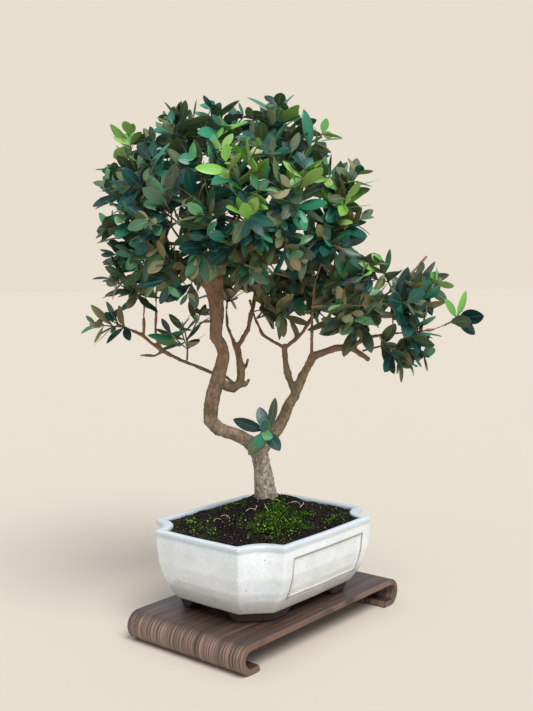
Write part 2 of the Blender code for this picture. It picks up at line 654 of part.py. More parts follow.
def build_limb(table, name, parent, grow=0.0):
    line, thick = limb_line(table, name)
    points, faces = bridge(tube(line, THICK_SIDES if thick else THIN_SIDES, grow))
    return add_object(name, points, faces, "olive_bark", parent)


def build_wood(parent):
    """Trunk, limbs and roots, grown together as one piece."""
    blanks = [build_limb(LIMBS, name, parent) for name in LIMBS if name != "trunk"]
    blanks += [build_limb(ROOTS, name, parent) for name in ROOTS]
    wood = build_limb(LIMBS, "trunk", parent)
    wood.name = "tree_wood"
    for blank in blanks:
        baked_boolean(wood, [blank], "UNION")
    return wood


# Shoots and leaves


def limb_place(name, share):
    """Position, radius and direction at a share of a limb's length."""
    line, _ = limb_line(LIMBS, name)
    lengths = [0.0]
    for (a, _), (b, _) in zip(line, line[1:]):
        lengths.append(lengths[-1] + (b - a).length)
    wanted = share * lengths[-1]
    for k in range(len(line) - 1):
        if wanted <= lengths[k + 1] or k == len(line) - 2:
            t = (wanted - lengths[k]) / (lengths[k + 1] - lengths[k])
            place = line[k][0].lerp(line[k + 1][0], t)
            radius = line[k][1] + (line[k + 1][1] - line[k][1]) * t
            return place, radius, (line[k + 1][0] - line[k][0]).normalized()


def bezier(start, bend, end, count):
    shares = [k / (count - 1) for k in range(count)]
    return [start * (1 - t) ** 2 + bend * 2 * t * (1 - t) + end * t * t for t in shares]


def line_at(points, distance):
    """Position and direction at a distance along a line of points."""
    left = distance
    for a, b in zip(points, points[1:]):
        piece = (b - a).length
        if left <= piece or b is points[-1]:
            return a + (b - a) * (left / piece), (b - a).normalized()
        left -= piece


class Twig:
    """A three-sided twig: its rings, and what grows from the first triangle of each side."""

    def __init__(self, places, radii, phases, start_side):
        self.rings = []
        self.frames = frames(places, start_side)
        self.places = places
        self.radii = radii
        self.growth = {}
        for place, radius, phase, (_, side, across) in zip(places, radii, phases, self.frames):
            ring = []
            for k in range(3):
                angle = phase + math.tau * k / 3
                ring.append(place + (side * math.cos(angle) + across * math.sin(angle)) * radius)
            self.rings.append(ring)
        self.bud = places[-1] + self.frames[-1][0] * radii[-1] * 2.5

    def base(self, level, side):
        """The triangle on a side, just above a ring, that a leaf or side twig grows from."""
        low, high = self.rings[level], self.rings[level + 1]
        return [low[side], low[(side + 1) % 3], high[(side + 1) % 3]]

    def facing_side(self, level, outward):
        """The side of the twig above a ring that faces most nearly outward."""
        def facing(side):
            a, b, c = self.base(level, side)
            return (b - a).cross(c - a).normalized().dot(outward)
        free = [side for side in range(3) if (level, side) not in self.growth]
        return max(free, key=facing) if free else None

    def skin(self):
        """Triangles of the twig alone, to test what would touch it."""
        points = [p for ring in self.rings for p in ring] + [self.bud]
        faces = []
        for level in range(len(self.rings) - 1):
            for side in range(3):
                a, b = level * 3 + side, level * 3 + (side + 1) % 3
                faces += [(a, b, b + 3), (a, b + 3, a + 3)]
        last = (len(self.rings) - 1) * 3
        faces += [(last + side, last + (side + 1) % 3, len(points) - 1) for side in range(3)]
        faces.append((2, 1, 0))
        return points, faces


def leaf_corners(base, direction, up, length, width, thick=LEAF_THICK):
    """The widest ring of a leaf, as right edge, raised middle and left edge, and its tip."""
    root = sum(base, Vector()) / 3
    up = (up - direction * up.dot(direction)).normalized()
    right = up.cross(direction)
    middle = root + direction * length * 0.46
    ring = [middle + right * width / 2, middle + up * thick, middle - right * width / 2]
    turns = [ring[k:] + ring[:k] for k in range(3)]
    ring = min(turns, key=lambda turned: sum((a - b).length for a, b in zip(base, turned)))
    return ring, root + direction * length - up * length * 0.06


def leaf_faces(base, ring, tip, flipped=False):
    """A leaf's nine points, base, ring and tip, and its triangles, with either diagonal across
    the sides between base and ring."""
    points = [*base, *ring, tip]
    faces = []
    for k in range(3):
        j = (k + 1) % 3
        if flipped:
            faces += [(k, j, 3 + k), (j, 3 + j, 3 + k)]
        else:
            faces += [(k, j, 3 + j), (k, 3 + j, 3 + k)]
        faces.append((3 + k, 3 + j, 6))
    return points, faces


def crosses_itself(points, faces):
    """Whether an edge of one triangle runs through another that it doesn't touch."""
    for face in faces:
        corners = [points[k] for k in face]
        for other in faces:
            for k in range(3):
                start, end = other[k], other[(k + 1) % 3]
                if start in face or end in face:
                    continue
                along = points[end] - points[start]
                hit = intersect_ray_tri(*corners, along, points[start], True)
                if hit and (hit - points[start]).dot(along) < along.length_squared:
                    return True
    return False


def tree_of(points, faces):
    return BVHTree.FromPolygons([tuple(p) for p in points], faces)


def plan_twig(points, pairs, first_share, radius, tip_radius, start_phase, start_side):
    """Rings along a line of points: two close together where each pair of leaves grows."""
    length = sum((b - a).length for a, b in zip(points, points[1:]))
    first = first_share * length
    spacing = (length - LEAF_NODE - first) / max(1, pairs - 1)
    stops, nodes = [0.0], []
    if first > 0.022:
        stops.append(first / 2)
    for k in range(pairs):
        at = first + spacing * k
        nodes.append(len(stops))
        stops += [at, at + LEAF_NODE]
    places = [line_at(points, stop)[0] for stop in stops]
    radii = [radius + (tip_radius - radius) * stop / length for stop in stops]
    phases, phase = [], start_phase
    for k in range(len(stops)):
        if k in nodes and k != nodes[0]:
            phase -= math.radians(30)
        phases.append(phase)
    return Twig(places, radii, phases, start_side), nodes


def shoot_line(name, attempt, chance):
    """The curve of a shoot from its limb to its tip, bent a little more at each attempt."""
    limb, share, across, behind, up, *_ = SHOOTS[name]
    place, radius, along = limb_place(limb, share)
    tip = Vector((across, behind, up)) * MM
    out = (tip - place).normalized()
    if share < 1.0:
        out = (out - along * out.dot(along) * 0.55).normalized()
        sideways = (out - along * out.dot(along)).normalized()
        start = place + sideways * (radius + GAP)
    else:
        out = (out + along * 2).normalized()
        start = place + along * GAP
    reach = (tip - start).length
    wander = Vector([chance.uniform(-1, 1) for _ in range(3)]) * reach * 0.03 * (1 + attempt)
    bend = start + out * reach * 0.5 + wander
    return bezier(start, bend, tip, 9), out


def clear_of(points, faces, others, own=None):
    tree = tree_of(points, faces)
    blocked = any(tree.overlap(other) for key, other in others if key != own)
    return not blocked


def start_disc_clear(twig, wood):
    """Whether the twig's flat start and its first edges are off the wood."""
    first, second = twig.rings[0], twig.rings[1]
    spots = [a.lerp(b, k / 4) for a, b in zip(first, first[1:] + first[:1]) for k in range(4)]
    spots += [a.lerp(b, share) for a, b in zip(first, second) for share in (0.04, 0.1, 0.2, 0.4)]
    spots.append(sum(first, Vector()) / 3)
    return all(wood.find_nearest(spot)[3] > GAP * 0.5 for spot in spots)


def lay_twigs(name, obstacles, wood, swollen):
    """A shoot's main twig and side twigs, laid clear of the wood and of other shoots."""
    chance = random.Random(name)
    *_, pairs, side_count = SHOOTS[name]
    for attempt in range(TRIES * 3):
        points, out = shoot_line(name, attempt, chance)
        first_share = BARE_SHARE if pairs > 4 else 0.3
        main, nodes = plan_twig(points, pairs, first_share, TWIG_RADIUS, TWIG_TIP_RADIUS,
                                chance.uniform(0, math.tau), out.orthogonal())
        shift = 0.0
        while not start_disc_clear(main, wood) and shift < 0.0016:
            shift += 0.0001
            points[0] = points[0] + out * 0.0001
            main, nodes = plan_twig(points, pairs, first_share, TWIG_RADIUS, TWIG_TIP_RADIUS,
                                    main_phase(main), out.orthogonal())
        beyond = [p for ring in main.rings[1:] for p in ring]
        off_wood = all(wood.find_nearest(p)[3] > GAP * 0.8 for p in beyond)
        if off_wood and clear_of(*main.skin(), obstacles):
            break
    else:
        print("no room for", name)
        return None
    twigs = [(main, nodes)]
    for k in range(side_count):
        side = lay_side_twig(main, nodes, k, chance, [*obstacles, swollen])
        if side:
            twigs.append(side)
    return twigs


def main_phase(twig):
    direction, side, across = twig.frames[0]
    spoke = twig.rings[0][0] - twig.places[0]
    return math.atan2(spoke.dot(across), spoke.dot(side))


def lay_side_twig(main, nodes, order, chance, obstacles):
    """A side twig in the place of one leaf, low on the main twig."""
    level = nodes[order % (len(nodes) - 1)]
    direction = main.frames[level][0]
    length = max(SIDE_TWIG, (main.places[-1] - main.places[0]).length * chance.uniform(0.42, 0.5))
    for _ in range(TRIES):
        turn = chance.uniform(0, math.tau) if order == 0 else lay_side_twig.turn + math.pi * 0.8
        turn += chance.uniform(-0.5, 0.5)
        side, across = main.frames[level][1], main.frames[level][2]
        outward = side * math.cos(turn) + across * math.sin(turn)
        face = main.facing_side(level, outward)
        if face is None:
            return None
        base = main.base(level, face)
        root = sum(base, Vector()) / 3
        normal = (base[1] - base[0]).cross(base[2] - base[0]).normalized()
        heading = (normal * 0.9 + outward * 0.4 + direction * 1.1).normalized()
        tip = root + heading * length + direction * length * 0.2
        points = bezier(root, root + heading * length * 0.5, tip, 6)
        spoke = base[0] - root
        twig, twig_nodes = plan_twig(points, 3, 0.36, TWIG_RADIUS * 0.8, TWIG_TIP_RADIUS, 0.0, spoke)
        twig.rings[0] = base
        if not stands_off(base, twig.rings[1], normal, LEAF_OFF):
            continue
        trimmed_points, trimmed_faces = twig.skin()
        for k in range(3):
            trimmed_points[k] = trimmed_points[k].lerp(trimmed_points[k + 3], 0.08)
        own = tree_of(*main.skin())
        trial = tree_of(trimmed_points, trimmed_faces)
        if not trial.overlap(own) and clear_of(trimmed_points, trimmed_faces, obstacles):
            main.growth[level, face] = twig
            lay_side_twig.turn = turn
            return twig, twig_nodes
    return None


lay_side_twig.turn = 0.0


def joint_skin(twig, level, leaf=None):
    """The skin round one ring of a twig: its next segments, and what grows there, a new leaf
    included, as points and triangles that share their corners."""
    triangles = []
    for low, high in zip(twig.rings[max(0, level - 1) : level + 2], twig.rings[max(1, level) :]):
        for side in range(3):
            j = (side + 1) % 3
            triangles += [(low[side], low[j], high[j]), (low[side], high[j], high[side])]
    grown = [(twig.base(level, face), growth) for (at, face), growth in twig.growth.items() if
             at == level]
    for base, growth in grown + ([leaf] if leaf else []):
        triangles = [t for t in triangles if t != tuple(base)]
        if isinstance(growth, Twig):
            points, faces = growth.skin()
            faces = faces[:6]
        else:
            points, faces = leaf_faces(base, *growth)
        triangles += [tuple(points[k] for k in face) for face in faces]
    index, faces = {}, []
    for triangle in triangles:
        faces.append(tuple(index.setdefault(tuple(p), len(index)) for p in triangle))
    return [Vector(p) for p in index], faces


def leaf_up(base, heading, wanted):
    """The wanted upward side of a leaf, held near the corner of its base that points that way, so
    that the blade leaves its base without a twist."""
    root = sum(base, Vector()) / 3
    spokes = [p - root for p in base]
    spokes = [(s - heading * s.dot(heading)).normalized() for s in spokes]
    wanted = (wanted - heading * wanted.dot(heading)).normalized()
    return (max(spokes, key=wanted.dot) + wanted * LEAF_TWIST).normalized()


def stands_off(base, points, normal, distance):
    root = sum(base, Vector()) / 3
    return min((p - root).dot(normal) for p in points) > distance


def place_leaf(twig, level, azimuth, size, chance, own_skins, obstacles, key):
    """Grows one leaf from the twig at a ring, where there is room for it, and keeps its shape."""
    direction, side, across = twig.frames[level]
    for attempt in range(TRIES):
        turn = azimuth + chance.uniform(-0.3, 0.3) * (1 + attempt * 0.3)
        outward = side * math.cos(turn) + across * math.sin(turn)
        face = twig.facing_side(level, outward)
        if face is None:
            return
        base = twig.base(level, face)
        normal = (base[1] - base[0]).cross(base[2] - base[0]).normalized()
        outward = (outward + normal * 0.7).normalized()
        lean = chance.uniform(0.6, 1.05) + attempt * 0.04 + (0.5 if key in SPREADING else 0.0)
        heading = (outward * math.sin(lean) + direction * math.cos(lean)).normalized()
        heading = (heading + Vector((0, 0, chance.uniform(-0.16, 0.08)))).normalized()
        wanted = direction + Vector((0, 0, 0.7))
        wanted += heading.cross(direction) * chance.uniform(-0.7, 0.7)
        up = leaf_up(base, heading, wanted)
        length = LEAF_LENGTH * size * chance.uniform(0.82, 1.14) * (1 - attempt * 0.03)
        width = LEAF_WIDTH * (0.45 + 0.55 * size) * chance.uniform(0.8, 1.15)
        ring, tip = leaf_corners(base, heading, up, length, width)
        wide_ring, wide_tip = leaf_corners(base, heading, up, length * 1.03, width * MARGIN,
                                           LEAF_THICK * 2)
        if not stands_off(base, [*wide_ring, wide_tip], normal, LEAF_OFF):
            continue
        flipped = crosses_itself(*leaf_faces(base, ring, tip))
        if flipped and crosses_itself(*leaf_faces(base, ring, tip, flipped)):
            continue
        points, faces = leaf_faces(base, wide_ring, wide_tip)
        if not clear_of(points, faces, obstacles, own=key):
            continue
        trimmed = [a.lerp(b, 0.04) for a, b in zip(base, wide_ring)]
        trial = tree_of(*leaf_faces(trimmed, wide_ring, wide_tip))
        if any(trial.overlap(skin) for skin in own_skins):
            continue
        if crosses_itself(*joint_skin(twig, level, (base, (ring, tip, flipped)))):
            continue
        twig.growth[level, face] = (ring, tip, flipped)
        own_skins.append(tree_of(points, faces))
        return


def leaf_out(twigs, chance, obstacles, key):
    """Leaves in opposite pairs along each twig, each pair a quarter turn from the last."""
    own_skins = [tree_of(*twig.skin()) for twig, _ in twigs]
    for twig, nodes in twigs:
        phase = chance.uniform(0, math.tau)
        for order, level in enumerate(nodes):
            share = (order + 1) / len(nodes)
            size = 1.0 - 0.45 * max(0.0, share - 0.5) * 2
            for half in (0, math.pi):
                azimuth = phase + order * math.pi / 2 + half
                place_leaf(twig, level, azimuth, size, chance, own_skins, obstacles, key)
    return own_skins


def skin_twig(twig, points, faces, first_ring=None):
    """Adds a twig's skin, with its leaves and side twigs grown out of their base triangles."""
    if first_ring is None:
        first_ring = add_points(points, twig.rings[0])
        faces.append(tuple(reversed(first_ring)))
    low = first_ring
    for level in range(len(twig.rings) - 1):
        high = add_points(points, twig.rings[level + 1])
        for side in range(3):
            j = (side + 1) % 3
            base = (low[side], low[j], high[j])
            faces.append((low[side], high[j], high[side]))
            growth = twig.growth.get((level, side))
            if growth is None:
                faces.append(base)
            elif isinstance(growth, Twig):
                skin_twig(growth, points, faces, base)
            else:
                ring, tip, flipped = growth
                corners = [*base, *add_points(points, [*ring, tip])]
                _, leaf = leaf_faces(base, ring, tip, flipped)
                faces += [tuple(corners[k] for k in face) for face in leaf]
        low = high
    bud = add_points(points, [twig.bud])[0]
    faces += [(low[side], low[(side + 1) % 3], bud) for side in range(3)]


def add_points(points, more):
    start = len(points)
    points.extend(more)
    return list(range(start, len(points)))


def build_shoots(parent, wood):
    """Every shoot: first all the twigs, each clear of the rest, then the leaves on them."""
    wood.data.calc_loop_triangles()
    wood_points = [v.co.copy() for v in wood.data.vertices]
    wood_faces = [tuple(t.vertices) for t in wood.data.loop_triangles]
    wood_tree = tree_of(wood_points, wood_faces)
    swollen = ("wood", tree_of([v.co + v.normal * GAP * 1.7 for v in wood.data.vertices], wood_faces))
    obstacles = [("wood", wood_tree)]
    laid = {}
    for name in SHOOTS:
        twigs = lay_twigs(name, obstacles, wood_tree, swollen)
        if twigs is None:
            continue
        laid[name] = twigs
        obstacles += [(name, tree_of(*twig.skin())) for twig, _ in twigs]
    count = 0
    obstacles.append(swollen)
    for name, twigs in laid.items():
        chance = random.Random(name + " leaves")
        others = [(key, tree) for key, tree in obstacles if key != name]
        skins = leaf_out(twigs, chance, others, name)
        obstacles += [(name, skin) for skin in skins[len(twigs):]]
        points, faces = [], []
        skin_twig(twigs[0][0], points, faces)
        add_object(name, points, faces, "olive_leaf", parent)
        count += len(skins) - len(twigs)
    print(len(laid), "shoots,", count, "leaves")


def stand_box(objects):
    corners = []
    for obj in objects:
        corners += [obj.matrix_world @ v.co for v in obj.data.vertices]
    low = Vector(min(c[k] for c in corners) for k in range(3))
    high = Vector(max(c[k] for c in corners) for k in range(3))
    return low, high


def centre_on_floor(root):
    """Moves the whole part so that the middle of its box stands over the origin."""
    bpy.context.view_layer.update()
    low, high = stand_box([o for o in bpy.data.objects if o.type == "MESH"])
    middle = (low + high) / 2
    root.location = (-middle.x, -middle.y, -low.z)
    print("moved by", [round(v, 5) for v in root.location])


def main():
    clear_scene()
    root = add_empty("bonsai")
    potted = add_empty("potted", root, at=POT_AT)
    tree = add_empty("tree", root, turn=TREE_TURN)
    bpy.context.view_layer.update()
    build_stand(root)
    build_pot(potted)
    for side in (-1, 1):
        build_screen(side, potted)
    root_cutters = [build_limb(LIMBS, "trunk", tree, GAP * 1.3)]
    root_cutters += [build_limb(ROOTS, name, tree, GAP * 1.3) for name in ROOTS]
    build_soil(potted, root_cutters)
    for name in MOSS_PATCHES:
        build_moss(name, potted)
    wood = build_wood(tree)
    build_shoots(tree, wood)
    centre_on_floor(root)


main()
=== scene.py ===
import math
import random

import bmesh
import bpy
import numpy as np
from mathutils import Matrix, Vector
from mathutils.bvhtree import BVHTree


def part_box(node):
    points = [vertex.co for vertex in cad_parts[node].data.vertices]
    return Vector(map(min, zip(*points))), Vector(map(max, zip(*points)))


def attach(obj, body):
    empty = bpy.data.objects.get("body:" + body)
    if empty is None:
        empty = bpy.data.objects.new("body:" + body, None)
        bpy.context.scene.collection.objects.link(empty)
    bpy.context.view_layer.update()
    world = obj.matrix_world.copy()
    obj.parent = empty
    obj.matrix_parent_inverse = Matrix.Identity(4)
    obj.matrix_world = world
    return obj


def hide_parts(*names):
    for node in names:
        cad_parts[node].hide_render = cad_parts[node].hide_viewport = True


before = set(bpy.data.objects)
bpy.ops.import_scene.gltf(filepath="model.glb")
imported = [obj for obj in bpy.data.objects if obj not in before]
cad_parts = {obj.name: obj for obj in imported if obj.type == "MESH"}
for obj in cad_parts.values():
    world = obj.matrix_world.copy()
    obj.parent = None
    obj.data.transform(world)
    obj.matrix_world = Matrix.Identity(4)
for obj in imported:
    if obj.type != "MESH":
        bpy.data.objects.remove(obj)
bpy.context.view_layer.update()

# Camera
# It stands in front of the stand's left corner, a little higher than the
# trunk's fork, where the photograph was taken from. Its place is measured
# from the middle of the stand.
stand_low, stand_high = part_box("stand")
stand_middle = (stand_low + stand_high) / 2
camera_x_off, camera_y_off, camera_height = 0.716409, 0.595207, 0.344108
camera_place = Vector((stand_middle.x - camera_x_off, stand_middle.y - camera_y_off, camera_height))
yaw, pitch, roll = (math.radians(a) for a in (39.7425, -4.52, -0.62))
ahead = Vector((math.cos(pitch) * math.cos(yaw), math.cos(pitch) * math.sin(yaw), math.sin(pitch)))
level_right = Vector((math.sin(yaw), -math.cos(yaw), 0))
level_up = level_right.cross(ahead)
camera_right = level_right * math.cos(roll) + level_up * math.sin(roll)
camera_up = level_up * math.cos(roll) - level_right * math.sin(roll)
camera_data = bpy.data.cameras.new("photo_camera")
camera_data.lens = 47.52
camera_data.sensor_width = 36
camera_data.clip_start = 0.02
camera = bpy.data.objects.new("photo_camera", camera_data)
camera.matrix_world = (
    Matrix.Translation(camera_place) @ Matrix((camera_right, camera_up, -ahead)).transposed().to_4x4()
)
bpy.context.scene.collection.objects.link(camera)
bpy.context.scene.camera = camera


# Floor and light
# A plain matt cream floor that runs on into a background of the same cream,
# lit by one very wide soft light from the upper right and by the pale room.
class Wire:
    """An output of a material's nodes. Sums written with wires add the nodes that work them out."""

    def __init__(self, tree, socket=None):
        self.tree = tree
        self.socket = socket

    def node(self, kind, settings=None, sockets=None, output=0):
        made = self.tree.nodes.new("ShaderNode" + kind)
        for name, value in (settings or {}).items():
            if name == "stops":
                elements = made.color_ramp.elements
                elements.remove(elements[1])
                (first_place, first_colour), *others = value
                elements[0].position, elements[0].color = first_place, (*first_colour, 1)
                for place, colour in others:
                    elements.new(place).color = (*colour, 1)
            else:
                setattr(made, name, value)
        for name, value in (sockets or {}).items():
            self.plug(made.inputs[name], value)
        return Wire(self.tree, made.outputs[output])

    def plug(self, into, value):
        if isinstance(value, Wire):
            self.tree.links.new(value.socket, into)
        elif into.type == "RGBA":
            into.default_value = (*value[:3], 1)
        else:
            into.default_value = value

    def maths(self, operation, a, b=0.5):
        return self.node("Math", {"operation": operation}, {0: a, 1: b})

    def __add__(self, other):
        return self.maths("ADD", self, other)

    def __radd__(self, other):
        return self.maths("ADD", other, self)

    def __sub__(self, other):
        return self.maths("SUBTRACT", self, other)

    def __rsub__(self, other):
        return self.maths("SUBTRACT", other, self)

    def __mul__(self, other):
        return self.maths("MULTIPLY", self, other)

    def __rmul__(self, other):
        return self.maths("MULTIPLY", other, self)

    def __abs__(self):
        return self.maths("ABSOLUTE", self)

    def step(self, low, high):
        """0 where this is below low, 1 above high, smooth between them."""
        return self.node("MapRange", {"interpolation_type": "SMOOTHSTEP"}, {0: self, 1: low, 2: high})

    def between(self, a, b):
        """Colour a where this is 0 and colour b where it is 1."""
        return self.node("Mix", {"data_type": "RGBA"}, {0: self, 6: a, 7: b}, 2)

    def ramp(self, *stops):
        """The colour for this value, from stops that are each a value from 0 to 1 and its colour."""
        return self.node("ValToRGB", {"stops": stops}, {0: self})

    def axis(self, k):
        """One of the three numbers of a place or a direction."""
        return self.node("SeparateXYZ", {}, {0: self}, k)

    def channel(self, k):
        """One of the three numbers of a colour."""
        return self.node("SeparateColor", {}, {0: self}, k)

    def point(self, x=1.0, y=1.0, z=1.0):
        """The place on the object, stretched along each axis."""
        here = self.node("TexCoord", output=3)
        return self.node("VectorMath", {"operation": "MULTIPLY"}, {0: here, 1: (x, y, z)})

    def noise(self, where, scale, detail=3.0, roughness=0.55, distortion=0.0):
        sockets = {"Vector": where, "Scale": scale, "Detail": detail}
        return self.node("TexNoise", {}, {**sockets, "Roughness": roughness, "Distortion": distortion})

    def cells(self, scale, feature="F1"):
        """How far the nearest of many scattered points is, or the nearest edge between their cells."""
        sockets = {"Vector": self.point(), "Scale": scale, "Randomness": 1.0}
        return self.node("TexVoronoi", {"feature": feature}, sockets)

    def bump(self, height, distance, strength=1.0):
        return self.node("Bump", {}, {"Height": height, "Distance": distance, "Strength": strength})


def start_finish(name):
    """A new material, the wire to build its nodes with, and a call that plugs its shader's sockets."""
    material = bpy.data.materials.new(name)
    material.use_nodes = True
    shader = material.node_tree.nodes["Principled BSDF"]
    wire = Wire(material.node_tree)

    def set_shader(**values):
        for name, value in values.items():
            wire.plug(shader.inputs[name.replace("_", " ").title().replace("Ior", "IOR")], value)

    return material, wire, set_shader


def paint(red, green, blue):
    """A colour read off a picture, 0 to 255, as the light values that a shader takes."""
    shares = [value / 255 for value in (red, green, blue)]
    return tuple(s / 12.92 if s <= 0.04045 else ((s + 0.055) / 1.055) ** 2.4 for s in shares)


cream = paint(233, 223, 208)
floor_tone = tuple(c * k for c, k in zip(cream, (0.843, 0.832, 0.817)))
bpy.ops.mesh.primitive_plane_add(size=60, location=(0, 0, 0))
floor = bpy.context.active_object
floor.name = "floor"
material, wire, set_shader = start_finish("cream_floor")
set_shader(base_color=floor_tone, roughness=0.95, specular_ior_level=0.0)
floor.data.materials.append(material)

world = bpy.data.worlds.new("pale_room")
world.use_nodes = True
wire = Wire(world.node_tree)
seen = wire.node("LightPath")
wire.plug(world.node_tree.nodes["Background"].inputs["Color"], seen.between((0.50, 0.53, 0.58), cream))
bpy.context.scene.world = world

bpy.ops.object.light_add(type="SUN", location=(0, 0, 2))
key_light = bpy.context.active_object
key_light.name = "soft_key"
key_light.data.energy = 2.7
key_light.data.angle = math.radians(36)
key_light.data.color = (1.0, 0.995, 0.98)
toward_light = -ahead * 0.76 + level_right * 0.38 + Vector((0, 0, 1.15))
key_light.rotation_mode = "QUATERNION"
key_light.rotation_quaternion = toward_light.to_track_quat("Z", "Y")
bpy.context.scene.view_settings.view_transform = "Standard"


# Stand
# A low stand of bent plywood with a walnut face, rolled under at both ends.
# The grain runs along it and round the rolls. It stands on its two rolls.
def joined_copy(node, name):
    """A CAD node's shape as a new piece, with its points joined, selected for the next operator."""
    bpy.ops.object.select_all(action="DESELECT")
    piece = bpy.data.objects.new(name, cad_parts[node].data.copy())
    piece.data.materials.clear()
    bpy.context.scene.collection.objects.link(piece)
    bpy.context.view_layer.objects.active = piece
    piece.select_set(True)
    bpy.ops.mesh.customdata_custom_splitnormals_clear()
    bpy.ops.object.mode_set(mode="EDIT")
    bpy.ops.mesh.select_all(action="SELECT")
    bpy.ops.mesh.remove_doubles(threshold=0.000002)
    bpy.ops.object.mode_set(mode="OBJECT")
    return piece


def apply_modifier(piece, kind, **settings):
    """Adds a modifier with these settings and applies it."""
    modifier = piece.modifiers.new(kind.lower(), kind)
    for name, value in settings.items():
        setattr(modifier, name, value)
    bpy.ops.object.modifier_apply(modifier=modifier.name)


stand = joined_copy("stand", "walnut_stand")
apply_modifier(stand, "BEVEL", width=0.0005, segments=2, limit_method="ANGLE", angle_limit=math.radians(50))
bpy.ops.object.shade_smooth_by_angle(angle=math.radians(40))

material, wire, set_shader = start_finish("walnut_veneer")
drift = wire.noise(wire.point(7, 30, 7), 1.0, 2.0)
across = wire.noise(wire.point(3, 760, 3), 1.0, 4.0, 0.65, 0.1)
fine = wire.noise(wire.point(12, 1150, 12), 1.0, 3.0, 0.6)
pores = wire.noise(wire.point(70, 2600, 70), 1.0, 2.0, 0.5)
thread = wire.noise(wire.point(5, 430, 5), 1.0, 3.0, 0.6, 0.1)
facing = wire.node("NewGeometry", output=1)
top_face = facing.axis(2).step(0.85, 1.0)
# The sides of the rolls are painted lighter in streaks that follow the grain: a painted highlight where they
# face the light.
painted_roll_highlight = (1 - facing.axis(2).step(0.55, 0.98)) * abs(facing.axis(0)).step(0.15, 0.45)
body = across.step(0.40, 0.60).between(paint(50, 36, 31), paint(112, 85, 72))
body = (drift.step(0.35, 0.7) * 0.4).between(body, paint(66, 46, 40))
body = (fine.step(0.50, 0.62) * 0.6).between(body, paint(138, 110, 96))
# Painted highlight: light streaks along the grain on the sides of the rolls.
body = (painted_roll_highlight * (across * 0.55 + fine * 0.45).step(0.43, 0.60) * 0.72).between(body, paint(176, 146, 130))
# The whole top face is painted much darker: painted shade from the pot that stands on it.
body = (top_face * 0.62).between(body, paint(30, 19, 17))
body = (top_face * thread.step(0.52, 0.64) * 0.5).between(body, paint(128, 102, 90))
body = (pores.step(0.56, 0.72) * 0.55).between(body, paint(44, 33, 31))
set_shader(
    base_color=body,
    roughness=0.36 + 0.16 * fine,
    coat_weight=0.15,
    normal=wire.bump(across * 0.6 + fine * 0.4, 0.0004, 0.5),
)
stand.data.materials.append(material)
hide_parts("stand")
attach(stand, "root")

# Pot
# A rectangular stoneware pot with cut-in corners and a sunk panel in each
# long side, under a thick white glaze that has run thin on the edges. The
# feet are bare clay, and fine crazing shows all over the glaze.
PANEL_HALF_LENGTH = 0.055
PANEL_MIDDLE_HEIGHT = 0.0717
PANEL_HALF_HEIGHT = 0.0198
pot = joined_copy("pot", "glazed_pot")
apply_modifier(pot, "REMESH", mode="VOXEL", voxel_size=0.0011)
apply_modifier(pot, "SMOOTH", factor=0.5, iterations=8)
bpy.ops.object.shade_smooth()

material, wire, set_shader = start_finish("white_glaze")
pot_low, pot_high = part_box("pot")
pot_middle = (pot_low + pot_high) / 2
place = wire.point()
height = place.axis(2)
off_middle = abs(place.axis(0) - pot_middle.x)
depth = abs(place.axis(1) - pot_middle.y)
edge = wire.node("NewGeometry", output=7)
cloud = wire.noise(place, 38, 5.0, 0.6)
speck = wire.noise(place, 900, 2.0, 0.6)
crack = wire.cells(190.0, "DISTANCE_TO_EDGE")
fine_crack = wire.cells(520.0, "DISTANCE_TO_EDGE")
pinhole = wire.cells(75.0)
drip = wire.noise(wire.point(1, 1, 0.25), 240, 4.0, 0.6)
glaze = cloud.step(0.3, 0.7).between(paint(228, 236, 239), paint(246, 251, 254))
glaze = (drip.step(0.45, 0.7) * 0.5).between(glaze, paint(248, 250, 251))
glaze = ((1 - height.step(0.040, 0.060)) * 0.5).between(glaze, paint(214, 204, 190))
glaze = (height.step(0.0985, 0.1015) * 0.75).between(glaze, paint(196, 209, 216))
glaze = (height.step(0.1045, 0.1058) * 0.6).between(glaze, paint(236, 242, 245))
glaze = ((1 - crack.step(0.0, 0.04)) * 0.26).between(glaze, paint(168, 168, 166))
glaze = ((1 - fine_crack.step(0.0, 0.08)) * 0.26).between(glaze, paint(182, 184, 184))
thin_edge = edge.step(0.525, 0.57) * speck.step(0.3, 0.6) * (1 - height.step(0.098, 0.102) * 0.7)
glaze = (thin_edge * 0.6).between(glaze, paint(170, 150, 128))
# Hollows and creases, where the pointiness is low, are painted darker: painted shade.
glaze = ((1 - edge.step(0.44, 0.485)) * 0.55).between(glaze, paint(150, 146, 140))
# A dark line round the sunk panel on each long side: partly glaze run thin over the panel's edge, partly
# painted shade in the panel's border.
from_panel = abs(
    wire.maths(
        "MAXIMUM", off_middle - PANEL_HALF_LENGTH, abs(height - PANEL_MIDDLE_HEIGHT) - PANEL_HALF_HEIGHT
    )
)
panel_glaze_line_and_shade = (1 - from_panel.step(0.0004, 0.0016)) * depth.step(0.060, 0.064) * drip.step(0.2, 0.45)
glaze = (panel_glaze_line_and_shade * 0.8).between(glaze, paint(126, 118, 106))
glaze = ((1 - pinhole.step(0.035, 0.06)) * 0.8).between(glaze, paint(110, 92, 76))
bare = 1 - height.step(0.0372, 0.0392)
clay = speck.step(0.3, 0.7).between(paint(46, 36, 36), paint(78, 62, 58))
relief = cloud * 0.5 + crack.step(0.0, 0.03) * 0.05 + speck * 0.04 - panel_glaze_line_and_shade * 0.5
set_shader(
    base_color=bare.between(glaze, clay),
    roughness=bare * 0.5 + 0.16 + cloud * 0.12,
    coat_weight=(1 - bare) * 0.5,
    coat_roughness=0.08,
    normal=wire.bump(relief, 0.0012, 0.6),
)
pot.data.materials.append(material)
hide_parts("pot")
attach(pot, "root")

